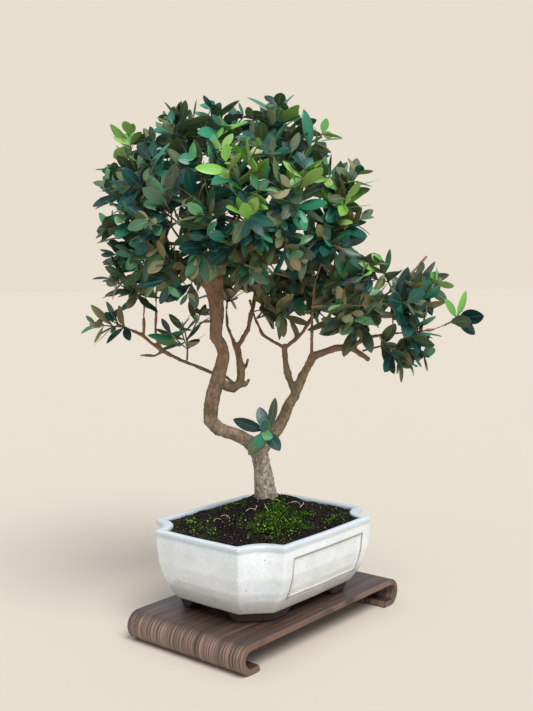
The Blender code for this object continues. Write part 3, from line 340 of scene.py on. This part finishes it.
# Drain screens
# Two squares of black plastic mesh that lie over the drain holes inside the
# pot, under the soil.
material, wire, set_shader = start_finish("screen_plastic")
grain = wire.noise(wire.point(), 1500, 2.0)
set_shader(
    base_color=grain.between(paint(34, 34, 35), paint(48, 48, 49)),
    roughness=0.55 + grain * 0.2,
    normal=wire.bump(grain, 0.0002, 0.4),
)
for node in ("drain_screen_left", "drain_screen_right"):
    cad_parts[node].data.materials.clear()
    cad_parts[node].data.materials.append(material)

# Soil
# Dark moist potting soil, heaped up to the root flare. Its top is rough and
# crumbly, with a thin green growth in patches.
soil = joined_copy("soil", "potting_soil")
apply_modifier(soil, "REMESH", mode="VOXEL", voxel_size=0.0014)
for size, strength in ((0.013, 0.0034), (0.0045, 0.0022)):
    clods = bpy.data.textures.new("clods", "CLOUDS")
    clods.noise_scale = size
    clods.noise_depth = 2
    soil_top = soil.vertex_groups.new(name="top")
    soil_top.add([v.index for v in soil.data.vertices if v.normal.z > 0.6 and v.co.z > 0.1], 1.0, "REPLACE")
    apply_modifier(
        soil, "DISPLACE", texture=clods, texture_coords="LOCAL", strength=strength, mid_level=0.55,
        vertex_group=soil_top.name,
    )
    soil.vertex_groups.remove(soil.vertex_groups[0])
bpy.ops.object.shade_smooth()

material, wire, set_shader = start_finish("dark_soil")
crumb = wire.noise(wire.point(), 420, 6.0, 0.7)
patch = wire.noise(wire.point(), 34, 4.0, 0.6)
mossy = wire.noise(wire.point(), 130, 5.0, 0.65)
earth = crumb.step(0.46, 0.66).between(paint(7, 6, 6), paint(62, 50, 40))
moss_tone = crumb.step(0.44, 0.66).between(paint(9, 14, 5), paint(98, 116, 36))
growth = patch.step(0.50, 0.62) * mossy.step(0.42, 0.56)
set_shader(
    base_color=(growth * 0.85).between(earth, moss_tone),
    roughness=0.82 + crumb * 0.15,
    specular_ior_level=0.12,
    normal=wire.bump(crumb, 0.0016, 1.0),
)
soil.data.materials.append(material)
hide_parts("soil")
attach(soil, "root")

# Moss
# A low cushion of moss that has grown on the soil in front of the trunk. It
# is tufted, bright green in places and thin and earthy in others.
moss = joined_copy("moss_front", "front_moss")
apply_modifier(moss, "REMESH", mode="VOXEL", voxel_size=0.0008)
tufts = bpy.data.textures.new("tufts", "CLOUDS")
tufts.noise_scale = 0.0024
tufts.noise_depth = 3
apply_modifier(moss, "DISPLACE", texture=tufts, texture_coords="LOCAL", strength=0.0026, mid_level=0.5)
bpy.ops.object.shade_smooth()
material, wire, set_shader = start_finish("moss")
frond = wire.noise(wire.point(), 900, 4.0, 0.7)
patch = wire.noise(wire.point(), 120, 3.0, 0.6)
green = frond.step(0.44, 0.66).between(paint(8, 14, 5), paint(92, 126, 34))
green = (patch.step(0.44, 0.58) * 0.85).between(green, paint(24, 20, 14))
set_shader(
    base_color=green,
    roughness=0.9,
    specular_ior_level=0.12,
    normal=wire.bump(frond, 0.0012, 1.0),
)
moss.data.materials.append(material)
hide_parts("moss_front")
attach(moss, "root")

# Ground cover, clods and rootlets
# Tiny bright plants in patches on the moss and the soil, crumbs of soil and
# grit, and pale dry rootlets that lie on the soil round the trunk.
PHOTO_MIDDLE = (266.5, 355.5)
PIXELS_PER_DEPTH = 938.613
SOIL_EDGE_HEIGHT = 0.1005
FLATTEST_RISE = 0.3
ground = [BVHTree.FromObject(piece, bpy.context.evaluated_depsgraph_get()) for piece in (soil, moss)]


def under_pixel(x, y):
    """The soil or moss that shows at a pixel of the 533 by 711 photograph, and the way it faces."""
    aside, down = x - PHOTO_MIDDLE[0], y - PHOTO_MIDDLE[1]
    toward = ahead * PIXELS_PER_DEPTH + camera_right * aside - camera_up * down
    hits = [tree.ray_cast(camera_place, toward.normalized()) for tree in ground]
    hits = sorted((h for h in hits if h[0]), key=lambda h: h[3])
    return (hits[0][0], hits[0][1]) if hits else None


def lies_on_top(hit):
    """Whether a place that was found is on the top of the soil and not on its steep edge."""
    return hit is not None and hit[1].z >= FLATTEST_RISE and hit[0].z >= SOIL_EDGE_HEIGHT


# Patches of plants: the middle of each in the photograph, how far it spreads
# to the side and up, in pixels, and how many leaves it has.
PATCHES = (
    (278, 512, 11, 13, 520), (290, 527, 12, 8, 300), (270, 530, 9, 6, 170), (305, 514, 9, 6, 110),
    (196, 524, 12, 6, 120), (240, 520, 20, 10, 90), (335, 520, 16, 5, 90), (228, 506, 14, 4, 50),
    (212, 533, 9, 4, 60),
)
PLANT_FACES = ((0, 1, 4), (1, 2, 4), (2, 3, 4), (3, 0, 4))
dice = random.Random(7)
points, faces, marks = [], [], []
for x, y, wide, tall, how_many in PATCHES:
    for _ in range(how_many):
        hit = under_pixel(dice.gauss(x, wide * 0.5), dice.gauss(y, tall * 0.5))
        if not lies_on_top(hit):
            continue
        spread = dice.uniform(0, math.tau)
        outward = Vector((math.cos(spread), math.sin(spread), dice.uniform(0.2, 1.6))).normalized()
        across = outward.cross(Vector((0, 0, 1))).normalized()
        size = dice.uniform(0.0011, 0.0026)
        rise = hit[0] + Vector((0, 0, dice.uniform(0, 0.0016)))
        first = len(points)
        over = across.cross(outward) * size * 0.25
        points += [
            rise,
            rise + outward * size * 0.55 + across * size * 0.36,
            rise + outward * size,
            rise + outward * size * 0.55 - across * size * 0.36,
            rise + outward * size * 0.5 - over,
        ]
        faces += [tuple(first + v for v in f) for f in PLANT_FACES]
        marks += [(dice.random(), 0.0, 0.0)] * len(PLANT_FACES)

# Crumbs and grit: small uneven eight-sided grains.
CRUMBS = 900
CRUMB_CORNERS = ((1, 0, 0), (0, 1, 0), (-1, 0, 0), (0, -1, 0), (0, 0, 1), (0, 0, -1))
CRUMB_FACES = ((0, 1, 4), (1, 2, 4), (2, 3, 4), (3, 0, 4), (1, 0, 5), (2, 1, 5), (3, 2, 5), (0, 3, 5))
for _ in range(CRUMBS):
    hit = under_pixel(dice.uniform(165, 362), dice.uniform(490, 545))
    if not lies_on_top(hit):
        continue
    size = dice.uniform(0.0005, 0.0013)
    first = len(points)
    jitter = [dice.uniform(0.6, 1.2) * size for _ in CRUMB_CORNERS]
    points += [hit[0] + Vector(corner) * j for corner, j in zip(CRUMB_CORNERS, jitter)]
    faces += [tuple(first + v for v in f) for f in CRUMB_FACES]
    marks += [(dice.random(), 1.0, 0.0)] * len(CRUMB_FACES)

# Rootlets: where each starts in the photograph, its heading, and its length
# in pixels. A rootlet ends early where the ground drops away.
ROOTLETS = (
    (221, 517, 0.4, 12), (268, 511, 2.0, 14), (272, 500, -0.3, 18), (300, 508, 0.8, 15), (291, 503, 0.1, 13),
    (214, 522, 1.3, 9), (256, 506, -1.2, 10), (320, 504, -0.4, 12), (187, 522, 0.2, 8), (246, 512, 0.9, 11),
)
ROOTLET_STEPS = 8
ROOTLET_SIDES = 5
LONGEST_STEP = 0.006
for x, y, heading, length in ROOTLETS:
    turn = dice.uniform(-0.28, 0.28)
    line = []
    for k in range(ROOTLET_STEPS + 1):
        hit = under_pixel(x, y)
        if hit is None or (line and (hit[0] - line[-1]).length > LONGEST_STEP):
            break
        line.append(hit[0] + Vector((0, 0, 0.0006 + 0.0012 * math.sin(math.pi * k / ROOTLET_STEPS))))
        x += math.cos(heading) * length / ROOTLET_STEPS
        y -= math.sin(heading) * length / ROOTLET_STEPS * 0.5
        heading += turn
    for k, spot in enumerate(line):
        forward = (line[min(k + 1, len(line) - 1)] - line[max(k - 1, 0)]).normalized()
        side = forward.cross(Vector((0, 0, 1))).normalized()
        lift = side.cross(forward)
        thick = 0.00042 * (1 - 0.5 * k / ROOTLET_STEPS)
        angles = [math.tau * j / ROOTLET_SIDES for j in range(ROOTLET_SIDES)]
        first = len(points)
        points += [spot + (side * math.cos(a) + lift * math.sin(a)) * thick for a in angles]
        if k:
            before = first - ROOTLET_SIDES
            for j in range(ROOTLET_SIDES):
                after = (j + 1) % ROOTLET_SIDES
                faces.append((before + j, before + after, first + after, first + j))
            marks += [(dice.random(), 0.0, 1.0)] * ROOTLET_SIDES
mesh = bpy.data.meshes.new("ground_cover")
mesh.from_pydata([tuple(p) for p in points], [], faces)
cover = mesh.color_attributes.new("cover_marks", "FLOAT_COLOR", "CORNER")
cover.data.foreach_set("color", [c for mark, face in zip(marks, faces) for _ in face for c in (*mark, 1.0)])
ground_cover = bpy.data.objects.new("ground_cover", mesh)
bpy.context.scene.collection.objects.link(ground_cover)
material, wire, set_shader = start_finish("ground_cover")
cover_mark = wire.node("Attribute", {"attribute_name": "cover_marks"})
shade, crumbly, rooty = (cover_mark.channel(k) for k in range(3))
tone = shade.ramp(
    (0.0, paint(10, 22, 6)), (0.55, paint(46, 84, 18)), (0.85, paint(96, 150, 36)), (1.0, paint(160, 196, 74))
)
grit = shade.ramp((0.0, paint(10, 8, 8)), (0.75, paint(58, 46, 38)), (1.0, paint(150, 138, 120)))
grain = wire.noise(wire.point(), 1400, 2.0)
root_tone = grain.between(paint(168, 152, 124), paint(206, 194, 170))
set_shader(
    base_color=rooty.between(crumbly.between(tone, grit), root_tone),
    roughness=0.7 + grain * 0.2,
    specular_ior_level=0.2,
    normal=wire.bump(grain, 0.0003, 0.5),
)
mesh.materials.append(material)
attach(ground_cover, "root")

# Trunk, limbs and root flare
# One piece of living olive wood: grey-brown bark with fine cracks, pinkish
# brown where it has flaked, and pale lichen and specks near the soil.
wood = joined_copy("tree_wood", "olive_wood")
apply_modifier(wood, "REMESH", mode="VOXEL", voxel_size=0.0009)
apply_modifier(wood, "SMOOTH", factor=0.5, iterations=4)
for size, strength in ((0.012, 0.0022), (0.0032, 0.0009)):
    relief = bpy.data.textures.new("bark_relief", "CLOUDS")
    relief.noise_scale = size
    relief.noise_depth = 2
    apply_modifier(wood, "DISPLACE", texture=relief, texture_coords="LOCAL", strength=strength, mid_level=0.5)
bpy.ops.object.shade_smooth()

material, wire, set_shader = start_finish("olive_bark")
height = wire.point().axis(2)
plate = wire.noise(wire.point(1, 1, 0.5), 190, 6.0, 0.66, 0.5)
fissure = wire.noise(wire.point(1, 1, 0.35), 640, 5.0, 0.7)
patch = wire.noise(wire.point(), 52, 5.0, 0.62)
lichen = wire.noise(wire.point(1, 1, 0.7), 430, 6.0, 0.75)
speck = wire.cells(640.0)
bark = plate.step(0.30, 0.72).between(paint(94, 76, 58), paint(166, 142, 116))
crook = height.step(0.19, 0.23) * (1 - height.step(0.27, 0.33))
bark = (crook * patch.step(0.38, 0.60) * 0.55).between(bark, paint(108, 104, 78))
bark = (height.step(0.24, 0.30) * patch.step(0.32, 0.56) * 0.7).between(bark, paint(172, 128, 102))
bark = ((1 - fissure.step(0.30, 0.44)) * 0.55).between(bark, paint(62, 50, 40))
low = 1 - height.step(0.150, 0.215)
bark = (low * lichen.step(0.42, 0.60) * 0.85).between(bark, paint(202, 198, 186))
dots = (low * 0.7 + 0.25) * (1 - speck.step(0.14, 0.30)) * patch.step(0.42, 0.58)
bark = dots.between(bark, paint(52, 46, 40))
bark = ((1 - low) * lichen.step(0.62, 0.72) * 0.45).between(bark, paint(204, 192, 170))
bark = ((1 - height.step(0.126, 0.140)) * 0.5).between(bark, paint(92, 84, 58))
set_shader(
    base_color=bark,
    roughness=0.78 + fissure * 0.15,
    specular_ior_level=0.25,
    normal=wire.bump(plate * 0.6 + fissure * 0.5, 0.0010, 0.9),
)
wood.data.materials.append(material)
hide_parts("tree_wood")
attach(wood, "root")


# Leafy shoots
# Each shoot is a thin green-brown twig with small leathery leaves that are
# grown to it: dark blue-green and glossy above, matt olive beige below, with
# a paler midrib. A few shoot ends carry fresh yellow-green leaves.
LEAF_STEPS = 8
STALK_END = 0.26
STALK_WIDTH, TIP_WIDTH = 0.045, 0.02
SHORTEST_LEAF_EDGE = 0.004
bpy.ops.object.select_all(action="DESELECT")
bpy.ops.mesh.primitive_grid_add(x_subdivisions=LEAF_STEPS, y_subdivisions=2, size=1, location=(0, 0, 0))
blade = bpy.context.active_object
blade.name = "leaf_blade"
for v in blade.data.vertices:
    along = 1 - (0.5 - v.co.x) ** 1.25
    side = v.co.y * 2
    half_width = 0.5 * math.sin(math.pi * along ** 1.15) ** 0.66 if 0 < along < 1 else 0.0
    narrowest = STALK_WIDTH if along < 0.5 else TIP_WIDTH
    half_width = max(half_width * min(1, along / STALK_END) ** 0.6, narrowest)
    v.co = (along, side * half_width, abs(side) * 0.10 * half_width * 2)
apply_modifier(blade, "SOLIDIFY", thickness=0.03, offset=-1)
blade_points = np.array([v.co[:] for v in blade.data.vertices])
blade_faces = [tuple(f.vertices) for f in blade.data.polygons]
blade_upper = [f.normal.z > 0.4 for f in blade.data.polygons]
bpy.data.objects.remove(blade)


def read_leaves(mesh):
    """Where each leaf of a shoot starts and ends, its width and its upper side. Its faces go from the mesh."""
    shape = bmesh.new()
    shape.from_mesh(mesh)
    found, leaf_points = [], set()
    for tip in shape.verts:
        ring = [e.other_vert(tip) for e in tip.link_edges]
        if len(ring) != 3 or min(e.calc_length() for e in tip.link_edges) < SHORTEST_LEAF_EDGE:
            continue
        pairs = sorted(((ring[i].co - ring[j].co).length, i, j) for i, j in ((0, 1), (0, 2), (1, 2)))
        width, i, j = pairs[-1]
        crest = ring[3 - i - j]
        across = ring[j].co - ring[i].co
        base = {e.other_vert(v) for v in ring for e in v.link_edges} - {tip, *ring}
        base = sorted(base, key=lambda v: v.index)
        start = sum((v.co for v in base), Vector()) / len(base)
        lift = crest.co - (ring[i].co + ring[j].co) / 2
        lift -= lift.project(tip.co - start)
        lift -= lift.project(across)
        found.append((start.copy(), tip.co.copy(), width, lift.normalized()))
        leaf_points |= {tip, *ring}
    bmesh.ops.delete(shape, geom=list(leaf_points), context="VERTS")
    bmesh.ops.holes_fill(shape, edges=[e for e in shape.edges if e.is_boundary], sides=6)
    shape.to_mesh(mesh)
    shape.free()
    return found


def on_photo(place):
    """Where a place shows in the 533 by 711 photograph, and how far it is from the camera."""
    away = Vector(place) - camera_place
    depth = away.dot(ahead)
    x = PHOTO_MIDDLE[0] + PIXELS_PER_DEPTH * away.dot(camera_right) / depth
    y = PHOTO_MIDDLE[1] - PIXELS_PER_DEPTH * away.dot(camera_up) / depth
    return x, y, depth


shoots = {}
for node in sorted(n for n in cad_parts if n.startswith("shoot_")):
    twig = joined_copy(node, "olive_" + node)
    shoots[node] = (twig, read_leaves(twig.data))

# Fresh leaves, by where they show in the photograph: place, reach in pixels,
# how many of the nearest ones, and how fresh (1 is yellow-green).
FRESH = (
    (120, 136, 18, 5, 0.85), (157, 116, 14, 3, 0.6), (230, 139, 16, 5, 0.9), (246, 145, 15, 4, 0.8),
    (226, 160, 16, 5, 1.0), (252, 166, 14, 5, 1.3), (251, 206, 18, 5, 0.9), (289, 173, 9, 2, 0.8),
    (298, 114, 12, 2, 0.65), (313, 107, 12, 2, 0.6), (327, 130, 16, 3, 0.6), (322, 172, 18, 6, 0.85),
    (326, 194, 13, 3, 0.6), (358, 200, 17, 5, 0.9), (350, 214, 12, 2, 0.9), (340, 155, 14, 3, 0.65),
    (382, 265, 14, 3, 0.65), (433, 280, 12, 2, 0.75), (445, 284, 12, 2, 0.7), (462, 302, 14, 2, 0.95),
    (482, 316, 10, 1, 0.6), (192, 138, 12, 2, 0.5), (124, 158, 12, 2, 0.5), (352, 281, 9, 1, 0.5),
)
fresh_of = {}
for x, y, reach, how_many, amount in FRESH:
    near = []
    for node, (_, found) in shoots.items():
        for k, (start, tip, _, _) in enumerate(found):
            px, py, depth = on_photo((start + tip) / 2)
            off = math.hypot(px - x, py - y)
            if off < reach:
                near.append((depth + off * 0.001, node, k))
    for _, node, k in sorted(near)[:how_many]:
        fresh_of[node, k] = amount

material, wire, set_shader = start_finish("olive_leaf")
leaf_mark = wire.node("Attribute", {"attribute_name": "leaf_marks"})
tone, upper, fresh = (leaf_mark.channel(k) for k in range(3))
dry = wire.node("Attribute", {"attribute_name": "leaf_marks"}, output=3)
leaf_spot = wire.node("Attribute", {"attribute_name": "leaf_place"})
along, aside, woody = (leaf_spot.channel(k) for k in range(3))
mottle = wire.noise(wire.point(), 260, 3.0, 0.6)
dark = tone.ramp(
    (0.0, paint(13, 54, 60)), (0.3, paint(18, 88, 80)), (0.65, paint(54, 154, 110)), (1.0, paint(146, 204, 130))
)
above = (mottle.step(0.35, 0.7) * 0.25).between(dark, paint(58, 98, 82))
above = fresh.step(0.0, 1.0).between(above, paint(122, 184, 72))
above = fresh.step(1.0, 1.3).between(above, paint(186, 202, 140))
rib = (1 - aside.step(0.01, 0.12)) * (1 - along.step(0.75, 0.95))
above = (rib * 0.26).between(above, paint(126, 152, 110))
below = tone.between(paint(66, 92, 62), paint(112, 128, 88))
below = dry.between(below, tone.between(paint(122, 114, 72), paint(164, 156, 112)))
above = (dry * 0.45).between(above, paint(104, 104, 62))
below = (fresh.step(0.0, 0.8) * 0.85).between(below, paint(150, 192, 92))
below = (rib * 0.4).between(below, paint(170, 168, 126))
leaf = upper.between(below, above)
bark_tone = wire.noise(wire.point(), 500, 3.0, 0.6)
twig_tone = bark_tone.step(0.3, 0.7).between(paint(92, 82, 58), paint(142, 130, 98))
set_shader(
    base_color=woody.between(leaf, twig_tone),
    roughness=0.60 - upper * 0.26 + woody * 0.2,
    normal=wire.bump(mottle * 0.3 - rib * 0.5, 0.0006, 0.5),
)


def grow_leaf(dice, start, tip, width, up):
    """The points of one leaf, bent and cupped a little differently each time."""
    forward = tip - start
    length = forward.length
    forward = forward / length
    up = (up - up.project(forward)).normalized()
    across = up.cross(forward)
    curl = dice.uniform(-0.02, 0.12)
    twist = dice.uniform(-0.35, 0.35)
    cup = dice.uniform(-0.6, 1.3)
    x, y, z = blade_points[:, 0], blade_points[:, 1], blade_points[:, 2] * cup
    z = z + curl * np.sin(np.pi * x)
    turn = twist * (x - 0.3)
    y, z = y * np.cos(turn) - z * np.sin(turn) * 0.4, z + y * np.sin(turn) * 0.5
    return (
        np.array(start)
        + np.outer(x * length, np.array(forward))
        + np.outer(y * width, np.array(across))
        + np.outer(z * width, np.array(up))
    )


# Where the foliage shows in the photograph. The middle of the crown is so
# dense that some knots on the limbs carry a second shoot there.
OUTLINE = (
    (112, 122), (150, 104), (200, 92), (285, 90), (330, 110), (377, 172), (380, 215), (352, 258), (385, 246),
    (440, 266), (474, 300), (458, 345), (420, 378), (380, 378), (350, 352), (318, 345), (298, 332), (256, 335),
    (234, 300), (212, 288), (186, 300), (150, 352), (106, 340), (98, 318), (125, 280), (104, 240), (102, 160),
)
crown_middle = Vector((-0.015, 0.020, 0.385))
wood_surface = BVHTree.FromObject(wood, bpy.context.evaluated_depsgraph_get())


def inside_outline(x, y):
    """Whether a pixel of the photograph is in the foliage."""
    crossings = 0
    for (x1, y1), (x2, y2) in zip(OUTLINE, OUTLINE[1:] + OUTLINE[:1]):
        if (y1 > y) != (y2 > y) and x < x1 + (y - y1) / (y2 - y1) * (x2 - x1):
            crossings += 1
    return crossings % 2 == 1


# Pixels of the photograph that mark off the low left shoots, the right limb's
# shoots and the dense middle, and the share of dry leaves up to each height.
LEFT_LOW_RIGHT, LEFT_LOW_TOP = 215, 268
RIGHT_LIMB_LEFT, RIGHT_LIMB_TOP = 345, 235
DENSE_LEFT, DENSE_RIGHT, DENSE_TOP, DENSE_BOTTOM = 232, 352, 245, 345
DRY_SHARES = ((0.375, 0.75), (0.43, 0.25), (math.inf, 0.06))
TRIES = 60
OFF_THE_WOOD = 0.006
INSIDE_SHARE = 0.9


def second_shoot(dice, knot, found):
    """A turn about the knot that keeps the leaves' tips in the foliage and off the wood, if one is found."""
    tips = [tip for _, tip, _, _ in found]
    for _ in range(TRIES):
        axis = Vector((dice.gauss(0, 1), dice.gauss(0, 1), dice.gauss(0, 1))).normalized()
        swing = Matrix.Rotation(dice.uniform(0.45, 1.5), 4, axis)
        turn = Matrix.Translation(knot) @ swing @ Matrix.Translation(-knot)
        ends = [on_photo(turn @ tip) for tip in tips]
        clear = all(wood_surface.find_nearest(turn @ tip)[3] > OFF_THE_WOOD for tip in tips)
        if clear and sum(inside_outline(x, y) for x, y, _ in ends) >= INSIDE_SHARE * len(ends):
            return [turn]
    return []


def leaf_habit(dice, region, k):
    """How slim and how long a leaf is beside its first shape, and how many more grow at its knot."""
    # The crown's draws are made for every leaf, and the other regions draw again after them.
    habit = dice.uniform(0.8, 1.08), dice.uniform(1.05, 1.28), dice.choice((0, 0, 1, 1, 1, 2))
    if region == "left_low":
        habit = dice.uniform(0.55, 0.8), dice.uniform(1.0, 1.15), dice.choice((0, 0, 1, 1))
    elif region == "right_limb":
        habit = dice.uniform(0.85, 1.2), dice.uniform(1.02, 1.28), dice.choice((0, 1, 1, 2, 2))
    elif region == "whorl":
        habit = dice.uniform(1.0, 1.15), dice.uniform(1.1, 1.25), k % 2
    return habit


for node, (twig, found) in shoots.items():
    dice = random.Random(node)
    middle = sum((tip for _, tip, _, _ in found), Vector()) / len(found)
    px, py, _ = on_photo(middle)
    region = "crown"
    if px < LEFT_LOW_RIGHT and py > LEFT_LOW_TOP:
        region = "left_low"
    elif px > RIGHT_LIMB_LEFT and py > RIGHT_LIMB_TOP:
        region = "right_limb"
    elif node == "shoot_fork_whorl":
        region = "whorl"
    whorl = region == "whorl"
    knot = min((v.co for v in twig.data.vertices), key=lambda co: wood_surface.find_nearest(co)[3]).copy()
    turns = [Matrix.Identity(4)]
    if DENSE_LEFT < px < DENSE_RIGHT and DENSE_TOP < py < DENSE_BOTTOM and not whorl:
        turns += second_shoot(dice, knot, found)

    leaves = []
    for turn in turns:
        for k, (start, tip, width, up) in enumerate(found):
            fresh_amount = fresh_of.get((node, k), 0.0) if turn is turns[0] else 0.0
            start, tip, up = turn @ start, turn @ tip, turn.to_3x3() @ up
            outward = ((start + tip) / 2 - crown_middle).normalized() * 0.8 + Vector((0, 0, 0.7))
            if up.dot(outward) < 0 and dice.random() < 0.85:
                up = -up
            dry_chance = next(share for top, share in DRY_SHARES if start.z < top)
            if region == "right_limb":
                dry_chance = 0.2
            dry_amount = 0.0
            if dice.random() < dry_chance and not fresh_amount and not whorl:
                dry_amount = dice.uniform(0.6, 1.0)
            slim, reach, pairs = leaf_habit(dice, region, k)
            leaves.append((start, start + (tip - start) * reach, width * slim, up, fresh_amount, dry_amount))
            for _ in range(pairs):
                swing = Matrix.Rotation(dice.choice((-1, 1)) * dice.uniform(0.7, 1.6), 3, up)
                tilt = Matrix.Rotation(dice.uniform(-0.9, 0.9), 3, (tip - start).normalized())
                end = start + (tilt @ (swing @ (tip - start))) * dice.uniform(0.75, 1.05)
                breadth = width * slim * dice.uniform(0.8, 0.95)
                leaves.append((start, end, breadth, tilt @ up, fresh_amount * 0.7, dry_amount))

    bpy.ops.object.select_all(action="DESELECT")
    bpy.context.view_layer.objects.active = twig
    twig.select_set(True)
    one_twig = [v.co.copy() for v in twig.data.vertices]
    twig_points = [(turn @ co)[:] for turn in turns for co in one_twig]
    faces = [
        tuple(v + k * len(one_twig) for v in f.vertices) for k in range(len(turns)) for f in twig.data.polygons
    ]
    points = [np.array(twig_points)]
    marks = [((0.5, 0.0, 0.0, 0.0), [(0.0, 0.0, 1.0)] * len(f)) for f in faces]
    count = len(twig_points)
    for start, tip, width, up, fresh_amount, dry_amount in leaves:
        usual_tone = 0.2 if whorl or region == "right_limb" else 0.3
        tone_amount = min(1.0, max(0.0, dice.gauss(usual_tone, 0.3)))
        placed = grow_leaf(dice, start, tip, width, up)
        points.append(placed)
        for face, is_upper in zip(blade_faces, blade_upper):
            faces.append(tuple(count + v for v in face))
            where = [(blade_points[v][0], min(1.0, abs(blade_points[v][1]) * 2), 0.0) for v in face]
            marks.append(((tone_amount, float(is_upper), fresh_amount, dry_amount), where))
        count += len(placed)
    mesh = bpy.data.meshes.new("leafy_" + node)
    mesh.from_pydata(np.vstack(points).tolist(), [], faces)
    leaf_marks = mesh.color_attributes.new("leaf_marks", "FLOAT_COLOR", "CORNER")
    leaf_place = mesh.color_attributes.new("leaf_place", "FLOAT_COLOR", "CORNER")
    leaf_marks.data.foreach_set("color", [c for mark, where in marks for _ in where for c in mark])
    leaf_place.data.foreach_set("color", [c for _, where in marks for w in where for c in (*w, 1.0)])
    mesh.materials.append(material)
    twig.data = mesh
    bpy.ops.object.shade_smooth_by_angle(angle=math.radians(70))
    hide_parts(node)
    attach(twig, "root")
